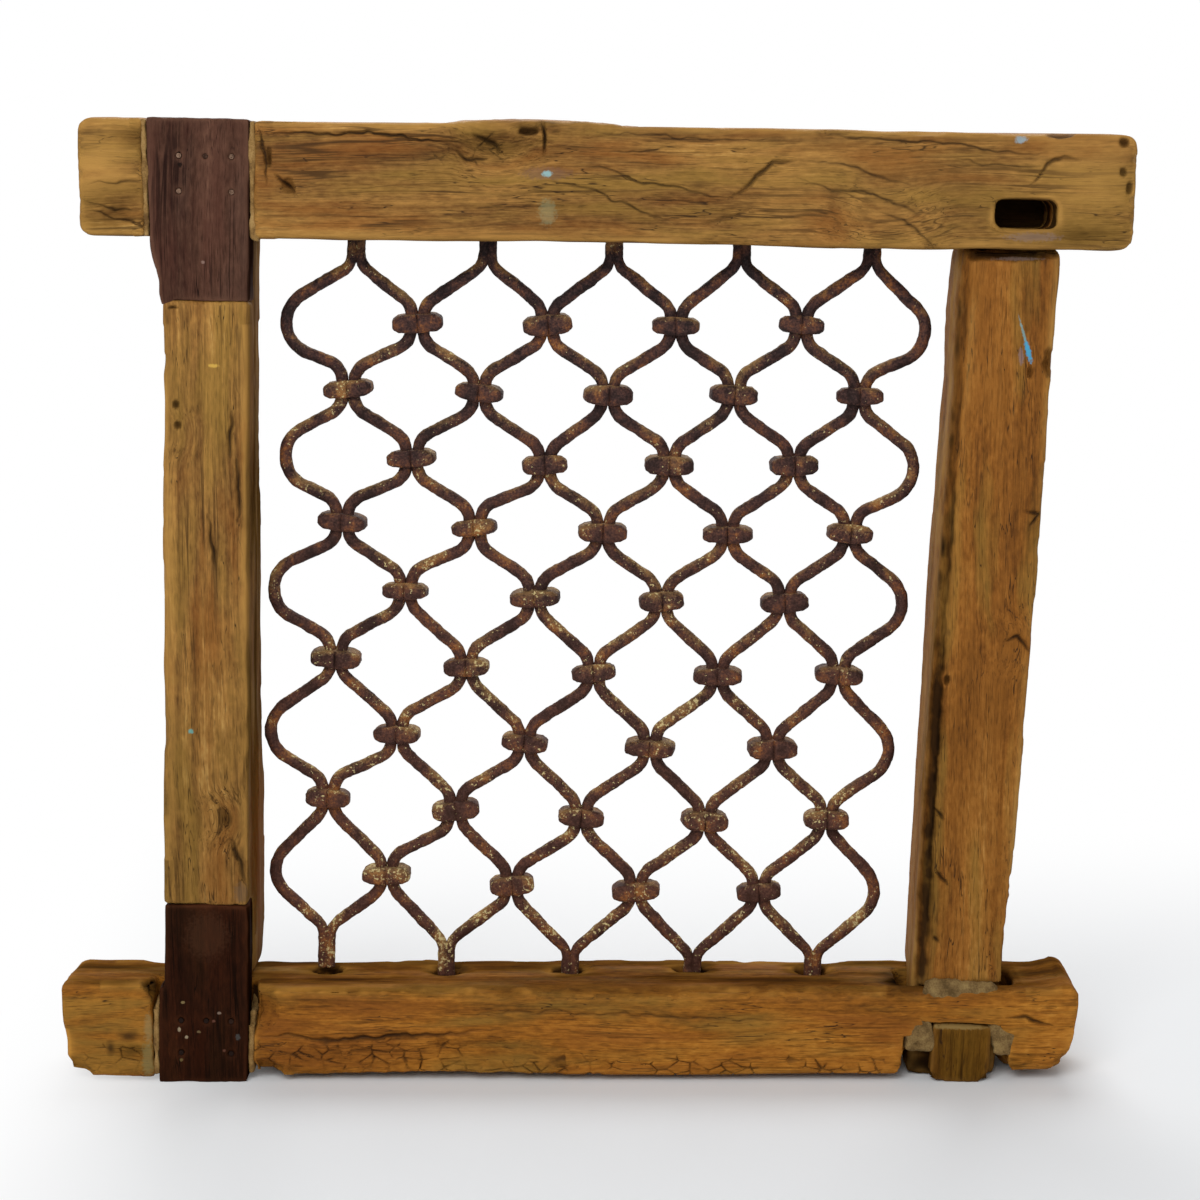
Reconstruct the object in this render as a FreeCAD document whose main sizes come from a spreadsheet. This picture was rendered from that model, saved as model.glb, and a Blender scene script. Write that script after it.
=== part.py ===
"""Jali window: an old timber frame, patched at its left corners, round a collared iron grille.

Lengths are in millimetres and angles in degrees. +X runs to the right along the sill, +Y goes
to the back and +Z goes up. The origin lies on the floor below the middle of the frame.
"""
import FreeCAD, Part
import math
import os
from collections import namedtuple
from types import SimpleNamespace

import Sketcher
from FreeCAD import Placement, Rotation, Vector

doc = FreeCAD.newDocument("JaliWindow")

# Driving dimensions: alias, value and meaning
SIZES = (
    ("rail_depth", 75, "front to back of both rails and of the left stile"),
    ("arris_radius", 3, "rounding of the long edges of the timbers"),
    ("bottom_rail_length", 728.5, "end to end"),
    ("bottom_rail_height", 65, "top to bottom"),
    ("bottom_rail_lift", 5, "the sill hangs this far above the floor, between the feet"),
    ("bottom_rail_shift", -12.25, "middle of the sill from the middle of the frame"),
    ("bottom_rail_left_radius", 6, "worn corners of the left end"),
    ("bottom_rail_right_radius", 12, "worn corners of the right end"),
    ("top_rail_length", 723.5, "end to end"),
    ("top_rail_height", 78.5, "top to bottom"),
    ("top_rail_shift", 13.7, "middle of the top rail from the middle of the frame"),
    ("top_rail_tilt", 0.9, "the right end has sunk"),
    ("top_rail_end_radius", 8, "worn corners of both ends"),
    ("opening_height", 531, "between the rails, at the middle of the top rail"),
    ("opening_width", 486, "between the stiles, half way up"),
    ("opening_shift", 5, "middle of the opening from the middle of the frame"),
    ("left_stile_width", 60, "across the front"),
    ("left_stile_lean", 1.3, "top to the right"),
    ("left_tenon_width", 40, "both ends of the left stile"),
    ("left_tenon_thickness", 22, "front to back"),
    ("left_tenon_setback", 13, "behind the splices"),
    ("left_tenon_height", 45, "into the top rail"),
    ("left_shoulder_gap", 2, "daylight under the left stile's shoulder at the sill"),
    ("right_stile_width", 66, "across the front"),
    ("right_stile_lean", 2.85, "top to the right"),
    ("right_stile_recess", 6, "behind the front of the rails"),
    ("wane_width", 6, "waned inner front arris, across the face"),
    ("wane_depth", 10, "waned inner front arris, to the back"),
    ("right_tenon_setback", 24, "behind the front of the rails"),
    ("right_tenon_thickness", 26, "front to back"),
    ("right_tenon_height", 55, "into the top rail"),
    ("cheek_thickness", 14, "front wall of the sill's mortise"),
    ("bridge_height", 27, "what is left of that wall above the foot block"),
    ("foot_tenon_thickness", 38, "through tenon of the right stile"),
    ("mortise_left_gap", 10, "play beside the through tenon"),
    ("mortise_right_gap", 8, "play beside the through tenon"),
    ("foot_block_width", 51, "in the broken mortise"),
    ("joint_clearance", 0.2, "between a tenon or block and the walls round it"),
    ("key_slot_width", 43, "along the top rail"),
    ("key_slot_height", 20, "up the top rail"),
    ("key_slot_depth", 62, "blind, from the front"),
    ("key_slot_rise", 14, "above the underside of the top rail"),
    ("key_slot_offset", 7, "to the right of the right stile's axis"),
    ("splice_thickness", 28, "front lap of both splices"),
    ("lap_gap", 4, "putty line beside a splice in its notch"),
    ("upper_splice_tail", 44, "below the top rail"),
    ("upper_splice_proud", 1.5, "above the top rail"),
    ("upper_splice_flare", 10.5, "the head spreads out to the left"),
    ("upper_splice_knee", 8.5, "it still spreads this far at the top rail's underside"),
    ("lower_splice_tail", 62, "above the sill"),
    ("lower_splice_step", 4, "the foot spreads out to the left, from the sill's top down"),
    ("nail_diameter", 4, "shank"),
    ("nail_bite", 10, "into the rail behind a splice"),
    ("nail_clearance", 0.1, "round the shank"),
    ("nail_spread", 18, "between nails, across a splice"),
    ("nail_rise", 24, "between the two lines of nails"),
    ("nail_edge", 24, "top of a rail to its first line of nails"),
    ("putty_setback", 1, "the putty lies behind the front of the rails"),
    ("bead_height", 6, "putty bead at the right stile's foot"),
    ("lump_height", 20, "putty beside the foot block"),
    ("bar_diameter", 9.5, "round wrought iron"),
    ("pair_gap", 0.3, "between the two bars of a pair"),
    ("grille_setback", 50, "front of the rails to the middle of the bars"),
    ("grille_side_gap", 15.5, "stile to outer loop, half way up"),
    ("grille_shift", -4.5, "middle of the grille from the middle of the opening"),
    ("grille_tilt", 1.7, "the whole grille has turned, right side down"),
    ("grille_drift", 1.75, "each row lies further left than the one above"),
    ("grille_lead", 4.5, "the top row lies further right still, and the next row half as much"),
    ("grille_tuck", 6, "the left end of the bottom row is drawn in"),
    ("grille_bow", 7.5, "the middle bars bulge to the right half way up"),
    ("grille_fan", 0.44, "extra drop for each row and column from the middle"),
    ("grille_sag", 8, "the bottom row hangs lower in the middle than at its ends"),
    ("loop_drop", 3.5, "outer loops hang lower at the right and higher at the left"),
    ("row_stretch", 4.4, "lower rows are further apart than upper rows"),
    ("top_tang", 9, "top rail to the first bends"),
    ("bottom_tang", 7.5, "sill to the last bends"),
    ("socket_depth", 20, "bar ends in the rails"),
    ("socket_clearance", 0.3, "round the bar ends"),
    ("bend_radius", 14, "middle line of a bend beside a collar or a rail"),
    ("loop_radius", 22, "middle line of a free outer loop"),
    ("collar_height", 11, "along the bars"),
    ("collar_thickness", 7, "wrapped strip"),
    ("collar_clearance", 0.3, "between a collar and its bars"),
    ("collar_margin", 0.5, "straight bar above and below a collar"),
    ("collar_seam", 1.2, "where the strip's ends meet at the front"),
    ("collar_rounding", 2.5, "hammered edges"),
)

# Counts of the grille: pairs of bars across, and steps from rail to rail
COLUMNS = 5
ROWS = 10
MIDDLE_ROW = ROWS / 2
EDGE_COLUMN = COLUMNS / 2
END_COLUMN = (COLUMNS - 1) / 2
# The top row's lead has died away after this many rows
LEAD_ROWS = 2

# Nails of a splice, in steps of their spread and rise
NAIL_PATTERN = ((-1, 0), (0, 0), (1, 0), (-1, 1), (1, 1))

# Cutters run this far past what they cut
OVERSHOOT = 20
# Two bends take up at most this share of the height between two crossings
BEND_ROOM = 0.95
# Geometry closer than this counts as touching
TOUCH = 1e-3

DEPTH_AXIS = Vector(0, 1, 0)
TO_THE_BACK = Rotation(Vector(1, 0, 0), -90)

BarPoint = namedtuple("BarPoint", "across height half radius")


class Length:
    """Number that also knows the expression on the sheet that it comes from."""

    def __init__(self, number, text):
        self.number = float(number)
        self.text = text

    def __float__(self):
        return self.number

    def __str__(self):
        return self.text

    def __add__(self, other):
        return Length(self.number + float(other), f"({self} + {other})")

    def __radd__(self, other):
        return Length(other + self.number, f"({other} + {self})")

    def __sub__(self, other):
        return Length(self.number - float(other), f"({self} - {other})")

    def __rsub__(self, other):
        return Length(other - self.number, f"({other} - {self})")

    def __mul__(self, factor):
        return Length(self.number * factor, f"({self} * {factor})")

    def __rmul__(self, factor):
        return self * factor

    def __truediv__(self, divisor):
        return Length(self.number / divisor, f"({self} / {divisor})")

    def __neg__(self):
        return self * -1


def make_sheet():
    """Keep the driving dimensions in a spreadsheet, one alias a row."""
    table = doc.addObject("Spreadsheet::Sheet", "Sizes")
    for row, (alias, number, meaning) in enumerate(SIZES, start=1):
        table.set(f"A{row}", meaning)
        table.set(f"B{row}", str(number))
        table.setAlias(f"B{row}", alias)
    doc.recompute()
    return table


def read_sizes(table):
    """Every cell of the sheet as a length under its alias."""
    aliases = [row[0] for row in SIZES]
    return SimpleNamespace(**{alias: Length(table.get(alias), f"Sizes.{alias}") for alias in aliases})


size = read_sizes(make_sheet())
ZERO = Length(0, "0")


def tilted(x, y, z, angle):
    """Frame at a point, leaning to +X by an angle."""
    return Placement(Vector(float(x), float(y), float(z)), Rotation(DEPTH_AXIS, float(angle)))


def shifted(frame, x, y, z):
    """Frame moved along its own axes."""
    return frame.multiply(Placement(Vector(float(x), float(y), float(z)), Rotation()))


def height_in(frame, x, target, level):
    """Height in a frame at which its line at x reaches a level of the target frame."""
    to_target = target.inverse().multiply(frame)
    low = to_target.multVec(Vector(x, 0, 0)).z
    climb = to_target.multVec(Vector(x, 0, 1)).z - low
    return (float(level) - low) / climb


# Frames of the timbers: the sill's at its top, the top rail's at its underside
FRONT = -size.rail_depth / 2
SILL_TOP = size.bottom_rail_lift + size.bottom_rail_height
MIDDLE_HEIGHT = SILL_TOP + size.opening_height / 2
LEFT_AXIS = size.opening_shift - (size.opening_width + size.left_stile_width) / 2
RIGHT_AXIS = size.opening_shift + (size.opening_width + size.right_stile_width) / 2
FLOOR = Placement()
SILL = tilted(size.bottom_rail_shift, 0, SILL_TOP, 0)
LINTEL = tilted(size.top_rail_shift, 0, SILL_TOP + size.opening_height, size.top_rail_tilt)
LEFT = tilted(LEFT_AXIS, 0, MIDDLE_HEIGHT, size.left_stile_lean)
RIGHT = tilted(RIGHT_AXIS, 0, MIDDLE_HEIGHT, size.right_stile_lean)

# Heights on the stiles' axes of the floor, the sill's top and the top rail's underside
LEFT_FLOOR = height_in(LEFT, 0, FLOOR, 0)
LEFT_SILL = height_in(LEFT, 0, SILL, 0)
LEFT_LINTEL = height_in(LEFT, 0, LINTEL, 0)
RIGHT_FLOOR = height_in(RIGHT, 0, FLOOR, 0)
RIGHT_SILL = height_in(RIGHT, 0, SILL, 0)
RIGHT_LINTEL = height_in(RIGHT, 0, LINTEL, 0)

# Spacing and frame of the grille, whose origin is the middle crossing
ROW_SPACE = (size.opening_height - size.top_tang - size.bottom_tang) / ROWS
UPPER_PITCH = float(ROW_SPACE - size.row_stretch / 2)
LOWER_PITCH = float(ROW_SPACE + size.row_stretch / 2)
COLUMN_PITCH = float(size.opening_width - 2 * size.grille_side_gap) / COLUMNS
GRILLE = tilted(
    size.opening_shift + size.grille_shift,
    FRONT + size.grille_setback,
    SILL_TOP + size.bottom_tang + LOWER_PITCH * MIDDLE_ROW,
    size.grille_tilt,
)


def bind(feature, **lengths):
    """Bind properties of a feature to the sheet."""
    for name, length in lengths.items():
        feature.setExpression(name, str(length))


def box(name, frame, corner, length, width, height):
    """Block with its low corner at a point of a frame and its sizes bound to the sheet."""
    block = doc.addObject("Part::Box", name)
    bind(block, Length=length, Width=width, Height=height)
    block.Placement = shifted(frame, *corner)
    return block


def compound(name, pieces):
    """Separate solids kept together as one object."""
    whole = doc.addObject("Part::Compound", name)
    whole.Links = pieces
    return whole


def boolean(kind, name, base, tool):
    """Part::Cut or Part::Common of two objects."""
    result = doc.addObject(kind, name)
    result.Base = base
    result.Tool = tool
    return result


def cut(name, base, tools):
    """Base with several tools cut away."""
    joined = doc.addObject("Part::MultiFuse", f"{name}_tools")
    joined.Shapes = tools
    return boolean("Part::Cut", name, base, joined)


def add_sketch(body, name, role):
    """Sketch on one of a body's own origin planes."""
    sketch = body.newObject("Sketcher::SketchObject", name)
    planes = [plane for plane in body.Origin.OriginFeatures if plane.Role == role]
    sketch.AttachmentSupport = (planes[0], [""])
    sketch.MapMode = "FlatFace"
    return sketch


def hold(sketch, label, length, *constraint):
    """Add a named constraint to a sketch and bind it to the sheet."""
    number = sketch.addConstraint(Sketcher.Constraint(*constraint, float(length)))
    sketch.renameConstraint(number, label)
    bind(sketch, **{f"Constraints.{label}": length})


def place_point(sketch, edge, point, across, along):
    """Hold a point of a sketch's edge at bound distances from the origin."""
    for kind, length in (("DistanceX", across), ("DistanceY", along)):
        hold(sketch, f"{kind}_{edge}_{point}", length, kind, -1, 1, edge, point)


def draw_outline(sketch, corners):
    """Closed outline of straight lines between corners."""
    points = [Vector(float(across), float(along), 0) for across, along in corners]
    for start, end in zip(points, points[1:] + points[:1]):
        sketch.addGeometry(Part.LineSegment(start, end), False)
    for edge, corner in enumerate(corners):
        following = (edge + 1) % len(corners)
        sketch.addConstraint(Sketcher.Constraint("Coincident", edge, 2, following, 1))
        place_point(sketch, edge, 1, *corner)


def draw_stadium(sketch, half_span, radius):
    """Closed outline of two half circles about points at either side of the origin."""
    reach = float(half_span)
    turn = float(radius)
    right = sketch.GeometryCount
    left = right + 1
    top = right + 2
    bottom = right + 3
    for centre, start in ((reach, -math.pi / 2), (-reach, math.pi / 2)):
        circle = Part.Circle(Vector(centre, 0, 0), Vector(0, 0, 1), turn)
        sketch.addGeometry(Part.ArcOfCircle(circle, start, start + math.pi), False)
    for side in (1, -1):
        start = Vector(side * reach, side * turn, 0)
        end = Vector(-side * reach, side * turn, 0)
        sketch.addGeometry(Part.LineSegment(start, end), False)
    for joint in ((right, 2, top, 1), (left, 1, top, 2), (left, 2, bottom, 1), (right, 1, bottom, 2)):
        sketch.addConstraint(Sketcher.Constraint("Tangent", *joint))
    place_point(sketch, right, 3, half_span, ZERO)
    place_point(sketch, left, 3, -half_span, ZERO)
    hold(sketch, f"Radius_{right}", radius, "Radius", right)


def add_pad(body, name, sketch, length, side="One side", reverse=False):
    """Pad a sketch to one side of its plane, or evenly to both."""
    pad = body.newObject("PartDesign::Pad", name)
    pad.Profile = sketch
    pad.SideType = side
    pad.Reversed = reverse
    bind(pad, Length=length)
    doc.recompute()


def round_edges(body, name, radius, chosen):
    """Fillet the edges of a body's last feature that a test picks."""
    base = body.Tip
    edges = [f"Edge{number}" for number, edge in enumerate(base.Shape.Edges, start=1) if chosen(edge)]
    fillet = body.newObject("PartDesign::Fillet", name)
    fillet.Base = (base, edges)
    bind(fillet, Radius=radius)
    doc.recompute()


def direction(edge):
    """Unit vector from the start to the end of an edge."""
    return (edge.valueAt(edge.LastParameter) - edge.valueAt(edge.FirstParameter)).normalize()


def is_along(edge, axis):
    """Whether an edge runs along an axis."""
    return abs(direction(edge).dot(axis)) > 1 - TOUCH


def rail_blank(name, frame, length, low, high, left_radius, right_radius):
    """Squared timber along X, with worn end corners and rounded arrises."""
    body = doc.addObject("PartDesign::Body", f"{name}_blank")
    sketch = add_sketch(body, f"{name}_face", "XZ_Plane")
    half = length / 2
    draw_outline(sketch, ((-half, low), (half, low), (half, high), (-half, high)))
    add_pad(body, f"{name}_pad", sketch, size.rail_depth, side="Symmetric")

    def left_end(edge):
        return is_along(edge, DEPTH_AXIS) and edge.CenterOfMass.x < -float(half) + TOUCH

    def right_end(edge):
        return is_along(edge, DEPTH_AXIS) and edge.CenterOfMass.x > float(half) - TOUCH

    def face_edge(edge):
        return abs(edge.CenterOfMass.y) > -float(FRONT) - TOUCH

    round_edges(body, f"{name}_left_end", left_radius, left_end)
    round_edges(body, f"{name}_right_end", right_radius, right_end)
    round_edges(body, f"{name}_arrises", size.arris_radius, face_edge)
    body.Placement = frame
    return body


def stile_blank(name, frame, floor, corners):
    """Squared timber along Z, with rounded arrises, from under the floor to above the top rail."""
    body = doc.addObject("PartDesign::Body", f"{name}_blank")
    sketch = add_sketch(body, f"{name}_section", "XY_Plane")
    draw_outline(sketch, corners)
    length = SILL_TOP + size.opening_height + size.top_rail_height + OVERSHOOT
    add_pad(body, f"{name}_pad", sketch, length)
    round_edges(body, f"{name}_arrises", size.arris_radius, lambda edge: is_along(edge, Vector(0, 0, 1)))
    body.Placement = shifted(frame, 0, 0, floor - OVERSHOOT)
    return body


def lap(name, height, corners, setback):
    """Front piece in a splice's place, from a setback to the back of the splice.

    Height is where the outline's own zero lies on the left stile's axis.
    """
    body = doc.addObject("PartDesign::Body", name)
    sketch = add_sketch(body, f"{name}_face", "XZ_Plane")
    draw_outline(sketch, corners)
    add_pad(body, f"{name}_pad", sketch, size.splice_thickness - setback, reverse=True)
    body.Placement = shifted(LEFT, 0, FRONT + setback, height)
    return body


def tenon(name, frame, start, section, height, play):
    """Tenon on a stile's axis, or its mortise where there is play round it."""
    width, setback, thickness = section
    corner = (-(width / 2 + play), FRONT + setback - play, start)
    return box(name, frame, corner, width + 2 * play, thickness + 2 * play, height + play)


def shank(name, height, place, play, overshoot):
    """Nail from the front to the back, or its hole where there is play round it."""
    step, rise = place
    rod = doc.addObject("Part::Cylinder", name)
    length = size.splice_thickness + size.nail_bite + play + overshoot
    bind(rod, Radius=size.nail_diameter / 2 + play, Height=length)
    start = Vector(
        float(step * size.nail_spread),
        float(FRONT) - overshoot,
        height - float(size.nail_edge + rise * size.nail_rise),
    )
    rod.Placement = LEFT.multiply(Placement(start, TO_THE_BACK))
    return rod


def nails(name, height):
    """Nails of a splice, and their holes, below the height of a rail's top on the left stile."""
    numbered = list(enumerate(NAIL_PATTERN, start=1))
    rods = [shank(f"{name}_{number}", height, place, ZERO, 0) for number, place in numbered]
    holes = [
        shank(f"{name}_hole_{number}", height, place, size.nail_clearance, OVERSHOOT)
        for number, place in numbered
    ]
    return compound(name, rods), holes


def upper_splice_outline(gap):
    """Corners of the upper splice from the top rail's underside, spread by a gap."""
    side = size.left_stile_width / 2 + gap
    top = size.top_rail_height + size.upper_splice_proud
    bottom = -size.upper_splice_tail
    head = (-side - size.upper_splice_flare, top)
    knee = (-side - size.upper_splice_knee, ZERO)
    return ((-side, bottom), (side, bottom), (side, top), head, knee)


def lower_splice_outline(gap):
    """Corners of the lower splice from the sill's top down past the floor, spread by a gap."""
    side = size.left_stile_width / 2 + gap
    foot = -side - size.lower_splice_step
    top = size.lower_splice_tail
    bottom = -SILL_TOP - OVERSHOOT
    return ((foot, bottom), (side, bottom), (side, top), (-side, top), (-side, ZERO), (foot, ZERO))


def crossing(row, column):
    """Middle of a pair of bars in the grille's frame, from row 0 at the top rail down."""
    step = row - MIDDLE_ROW
    pitch = UPPER_PITCH if step < 0 else LOWER_PITCH
    bulge = (1 - (step / MIDDLE_ROW) ** 2) * (1 - (column / EDGE_COLUMN) ** 2)
    lift = (column / END_COLUMN) ** 2 * row / ROWS
    lead = max(0, 1 - row / LEAD_ROWS)
    across = COLUMN_PITCH * column - step * size.grille_drift + bulge * size.grille_bow
    across = across + lead * size.grille_lead
    height = -pitch * step - column * step * size.grille_fan + lift * size.grille_sag
    if row == ROWS:
        across = across + ((1 - column / END_COLUMN) / 2) ** 2 * size.grille_tuck
    if abs(column) == EDGE_COLUMN:
        height = height - math.copysign(1, column) * size.loop_drop
    return float(across), float(height)


def row_columns(row):
    """Columns that have a pair of bars in a row: every other row is staggered by half a pitch."""
    count = COLUMNS if row % 2 == 0 else COLUMNS - 1
    return [number - (count - 1) / 2 for number in range(count)]


def bar_place(bar, row):
    """Column of a bar's pair in a row, and its side of the pair: -1 is left."""
    if row % 2 == 0:
        return bar // 2 - END_COLUMN, 1 if bar % 2 else -1
    return (bar + 1) // 2 - EDGE_COLUMN, -1 if bar % 2 else 1


def bar_point(bar, row):
    """Middle line of a bar in a row, half its straight run there and its bend radius."""
    column, side = bar_place(bar, row)
    middle, height = crossing(row, column)
    across = middle + side * float(size.bar_diameter + size.pair_gap) / 2
    if abs(column) == EDGE_COLUMN:
        return BarPoint(across, height, 0, float(size.loop_radius))
    half = float(size.collar_height / 2 + size.collar_margin)
    return BarPoint(across, height, half, float(size.bend_radius))


def swing(start, end):
    """Two opposite bends and the straight between them, from one bar point down to the next."""
    top = start.height - start.half
    bottom = end.height + end.half
    side = math.copysign(1, end.across - start.across)
    drop = top - bottom
    room = min(1, BEND_ROOM * drop / (start.radius + end.radius))
    first = start.radius * room
    last = end.radius * room
    spread = abs(end.across - start.across) - first - last
    angle = math.asin((first + last) / math.hypot(spread, drop)) + math.atan2(spread, drop)

    def leaving(turn):
        across = start.across + side * first * (1 - math.cos(turn))
        return Vector(across, 0, top - first * math.sin(turn))

    def arriving(turn):
        across = end.across - side * last * (1 - math.cos(turn))
        return Vector(across, 0, bottom + last * math.sin(turn))

    return (
        Part.Arc(leaving(0), leaving(angle / 2), leaving(angle)).toShape(),
        Part.LineSegment(leaving(angle), arriving(angle)).toShape(),
        Part.Arc(arriving(angle), arriving(angle / 2), arriving(0)).toShape(),
    )


def straight(across, top, bottom):
    """Upright run of a bar's middle line."""
    return Part.LineSegment(Vector(across, 0, top), Vector(across, 0, bottom)).toShape()


def tang_end(across, row):
    """Height in the grille's frame at which a bar ends in its rail's socket."""
    if row == 0:
        return height_in(GRILLE, across, LINTEL, size.socket_depth)
    return height_in(GRILLE, across, SILL, -size.socket_depth)


def grille_bar(number):
    """Wavy bar that swings from collar to collar between its two sockets."""
    points = [bar_point(number - 1, row) for row in range(ROWS + 1)]
    edges = [straight(points[0].across, tang_end(points[0].across, 0), points[0].height - points[0].half)]
    for point, following in zip(points, points[1:]):
        edges.extend(swing(point, following))
        if following.half and following is not points[-1]:
            top = following.height + following.half
            edges.append(straight(following.across, top, following.height - following.half))
    last = points[-1]
    edges.append(straight(last.across, last.height + last.half, tang_end(last.across, ROWS)))
    path = doc.addObject("Part::Feature", f"bar_path_{number}")
    path.Shape = Part.Wire(edges)
    section = doc.addObject("Part::Circle", f"bar_section_{number}")
    bind(section, Radius=size.bar_diameter / 2)
    section.Placement = Placement(edges[0].valueAt(edges[0].FirstParameter), Rotation())
    bar = doc.addObject("Part::Sweep", f"grille_bar_{number}")
    bar.Sections = [section]
    bar.Spine = (path, [f"Edge{count}" for count in range(1, len(edges) + 1)])
    bar.Solid = True
    bar.Placement = GRILLE
    return bar


def sockets(row, name):
    """Square sockets in a rail for the bar ends of the first or the last row."""
    play = size.socket_clearance
    width = 2 * size.bar_diameter + size.pair_gap + 2 * play
    thickness = size.bar_diameter + 2 * play
    height = size.socket_depth + play + OVERSHOOT
    holes = []
    for number, column in enumerate(row_columns(row), start=1):
        across = crossing(row, column)[0]
        end = tang_end(across, row)
        low = end + play - height if row == 0 else end - play
        corner = (across - width / 2, -thickness / 2, low)
        holes.append(box(f"{name}_{number}", GRILLE, corner, width, thickness, height))
    return holes


def collar():
    """Strip wrapped round a pair of bars, with its seam at the front."""
    half_span = (size.bar_diameter + size.pair_gap) / 2
    inner = size.bar_diameter / 2 + size.collar_clearance
    outer = inner + size.collar_thickness
    body = doc.addObject("PartDesign::Body", "collar")
    ring = add_sketch(body, "collar_ring", "XY_Plane")
    draw_stadium(ring, half_span, outer)
    draw_stadium(ring, half_span, inner)
    add_pad(body, "collar_pad", ring, size.collar_height, side="Symmetric")
    seam = add_sketch(body, "collar_seam_face", "XY_Plane")
    half_seam = size.collar_seam / 2
    far = -outer - OVERSHOOT
    near = -size.bar_diameter / 2
    draw_outline(seam, ((-half_seam, far), (half_seam, far), (half_seam, near), (-half_seam, near)))
    slot = body.newObject("PartDesign::Pocket", "collar_slot")
    slot.Profile = seam
    slot.Type = "ThroughAll"
    slot.SideType = "Symmetric"
    doc.recompute()

    def hammered(edge):
        spot = edge.valueAt((edge.FirstParameter + edge.LastParameter) / 2)
        at_front = abs(spot.y) > float(outer) - TOUCH
        at_end = abs(spot.x) > float(half_span + outer) - TOUCH
        at_rim = abs(spot.z) > float(size.collar_height) / 2 - TOUCH
        at_seam = abs(spot.x) < float(half_seam) + TOUCH
        return (at_front or at_end) and (at_rim or at_seam)

    round_edges(body, "collar_hammering", size.collar_rounding, hammered)
    return body


def collar_row(row, pattern):
    """Collars of one row, each a link to the same pattern collar."""
    links = []
    for number, column in enumerate(row_columns(row), start=1):
        across, height = crossing(row, column)
        link = doc.addObject("App::Link", f"collar_{row}_{number}")
        link.LinkedObject = pattern
        link.Placement = shifted(GRILLE, across, 0, height)
        links.append(link)
    return compound(f"collars_row_{row}", links)


# Zones of the rails and of the ground, which trim the timbers
wide = size.bottom_rail_length + size.top_rail_length
deep = size.rail_depth + 2 * OVERSHOOT
below = SILL_TOP + 2 * OVERSHOOT
above = size.top_rail_height + size.upper_splice_proud + OVERSHOOT
zone_left = -wide / 2
zone_front = FRONT - OVERSHOOT
sill_zone = box("sill_zone", SILL, (zone_left, zone_front, -below), wide, deep, below)
raised_zone = box(
    "raised_zone", SILL, (zone_left, zone_front, -below), wide, deep, below + size.left_shoulder_gap
)
lintel_zone = box("lintel_zone", LINTEL, (zone_left, zone_front, 0), wide, deep, above)
ground = box("ground", FLOOR, (zone_left, zone_front, -below), wide, deep, below)

# Splices, their notches and their nails
upper_notch = lap("upper_notch", LEFT_LINTEL, upper_splice_outline(size.lap_gap), ZERO)
lower_notch = lap("lower_notch", LEFT_SILL, lower_splice_outline(size.lap_gap), ZERO)
upper_blank = lap("upper_splice_blank", LEFT_LINTEL, upper_splice_outline(ZERO), ZERO)
lower_blank = lap("lower_splice_blank", LEFT_SILL, lower_splice_outline(ZERO), ZERO)
upper_nails, upper_holes = nails("upper_splice_nails", LEFT_LINTEL + float(size.top_rail_height))
lower_nails, lower_holes = nails("lower_splice_nails", LEFT_SILL)
upper_splice = cut("upper_splice", upper_blank, upper_holes)
lower_splice = cut("lower_splice", lower_blank, [*lower_holes, ground])

# Left stile: tenoned at both ends, with its front half cut back for the splices
left_side = size.left_stile_width / 2
left_corners = ((-left_side, FRONT), (left_side, FRONT), (left_side, -FRONT), (-left_side, -FRONT))
left_blank = stile_blank("left_stile", LEFT, LEFT_FLOOR, left_corners)
left_section = (
    size.left_tenon_width,
    size.splice_thickness + size.left_tenon_setback,
    size.left_tenon_thickness,
)
head_start = LEFT_LINTEL - OVERSHOOT
head_height = size.left_tenon_height + OVERSHOOT
foot_start = LEFT_FLOOR - OVERSHOOT
foot_height = SILL_TOP + 3 * OVERSHOOT
left_head = tenon("left_head", LEFT, head_start, left_section, head_height, ZERO)
left_foot = tenon("left_foot", LEFT, foot_start, left_section, foot_height, ZERO)
left_head_mortise = tenon(
    "left_head_mortise", LEFT, head_start, left_section, head_height, size.joint_clearance
)
left_foot_mortise = tenon(
    "left_foot_mortise", LEFT, foot_start, left_section, foot_height, size.joint_clearance
)
scarf_left = -left_side - OVERSHOOT
scarf_width = size.left_stile_width + 2 * OVERSHOOT
scarf_depth = size.splice_thickness + OVERSHOOT
upper_scarf = box(
    "upper_scarf",
    LEFT,
    (scarf_left, zone_front, LEFT_LINTEL - size.upper_splice_tail),
    scarf_width,
    scarf_depth,
    size.upper_splice_tail + above,
)
lower_scarf = box(
    "lower_scarf",
    LEFT,
    (scarf_left, zone_front, LEFT_SILL - below),
    scarf_width,
    scarf_depth,
    size.lower_splice_tail + below,
)
left_stile = cut(
    "left_stile",
    left_blank,
    [
        boolean("Part::Cut", "left_head_waste", lintel_zone, left_head),
        boolean("Part::Cut", "left_foot_waste", raised_zone, left_foot),
        upper_scarf,
        lower_scarf,
        ground,
    ],
)

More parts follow.
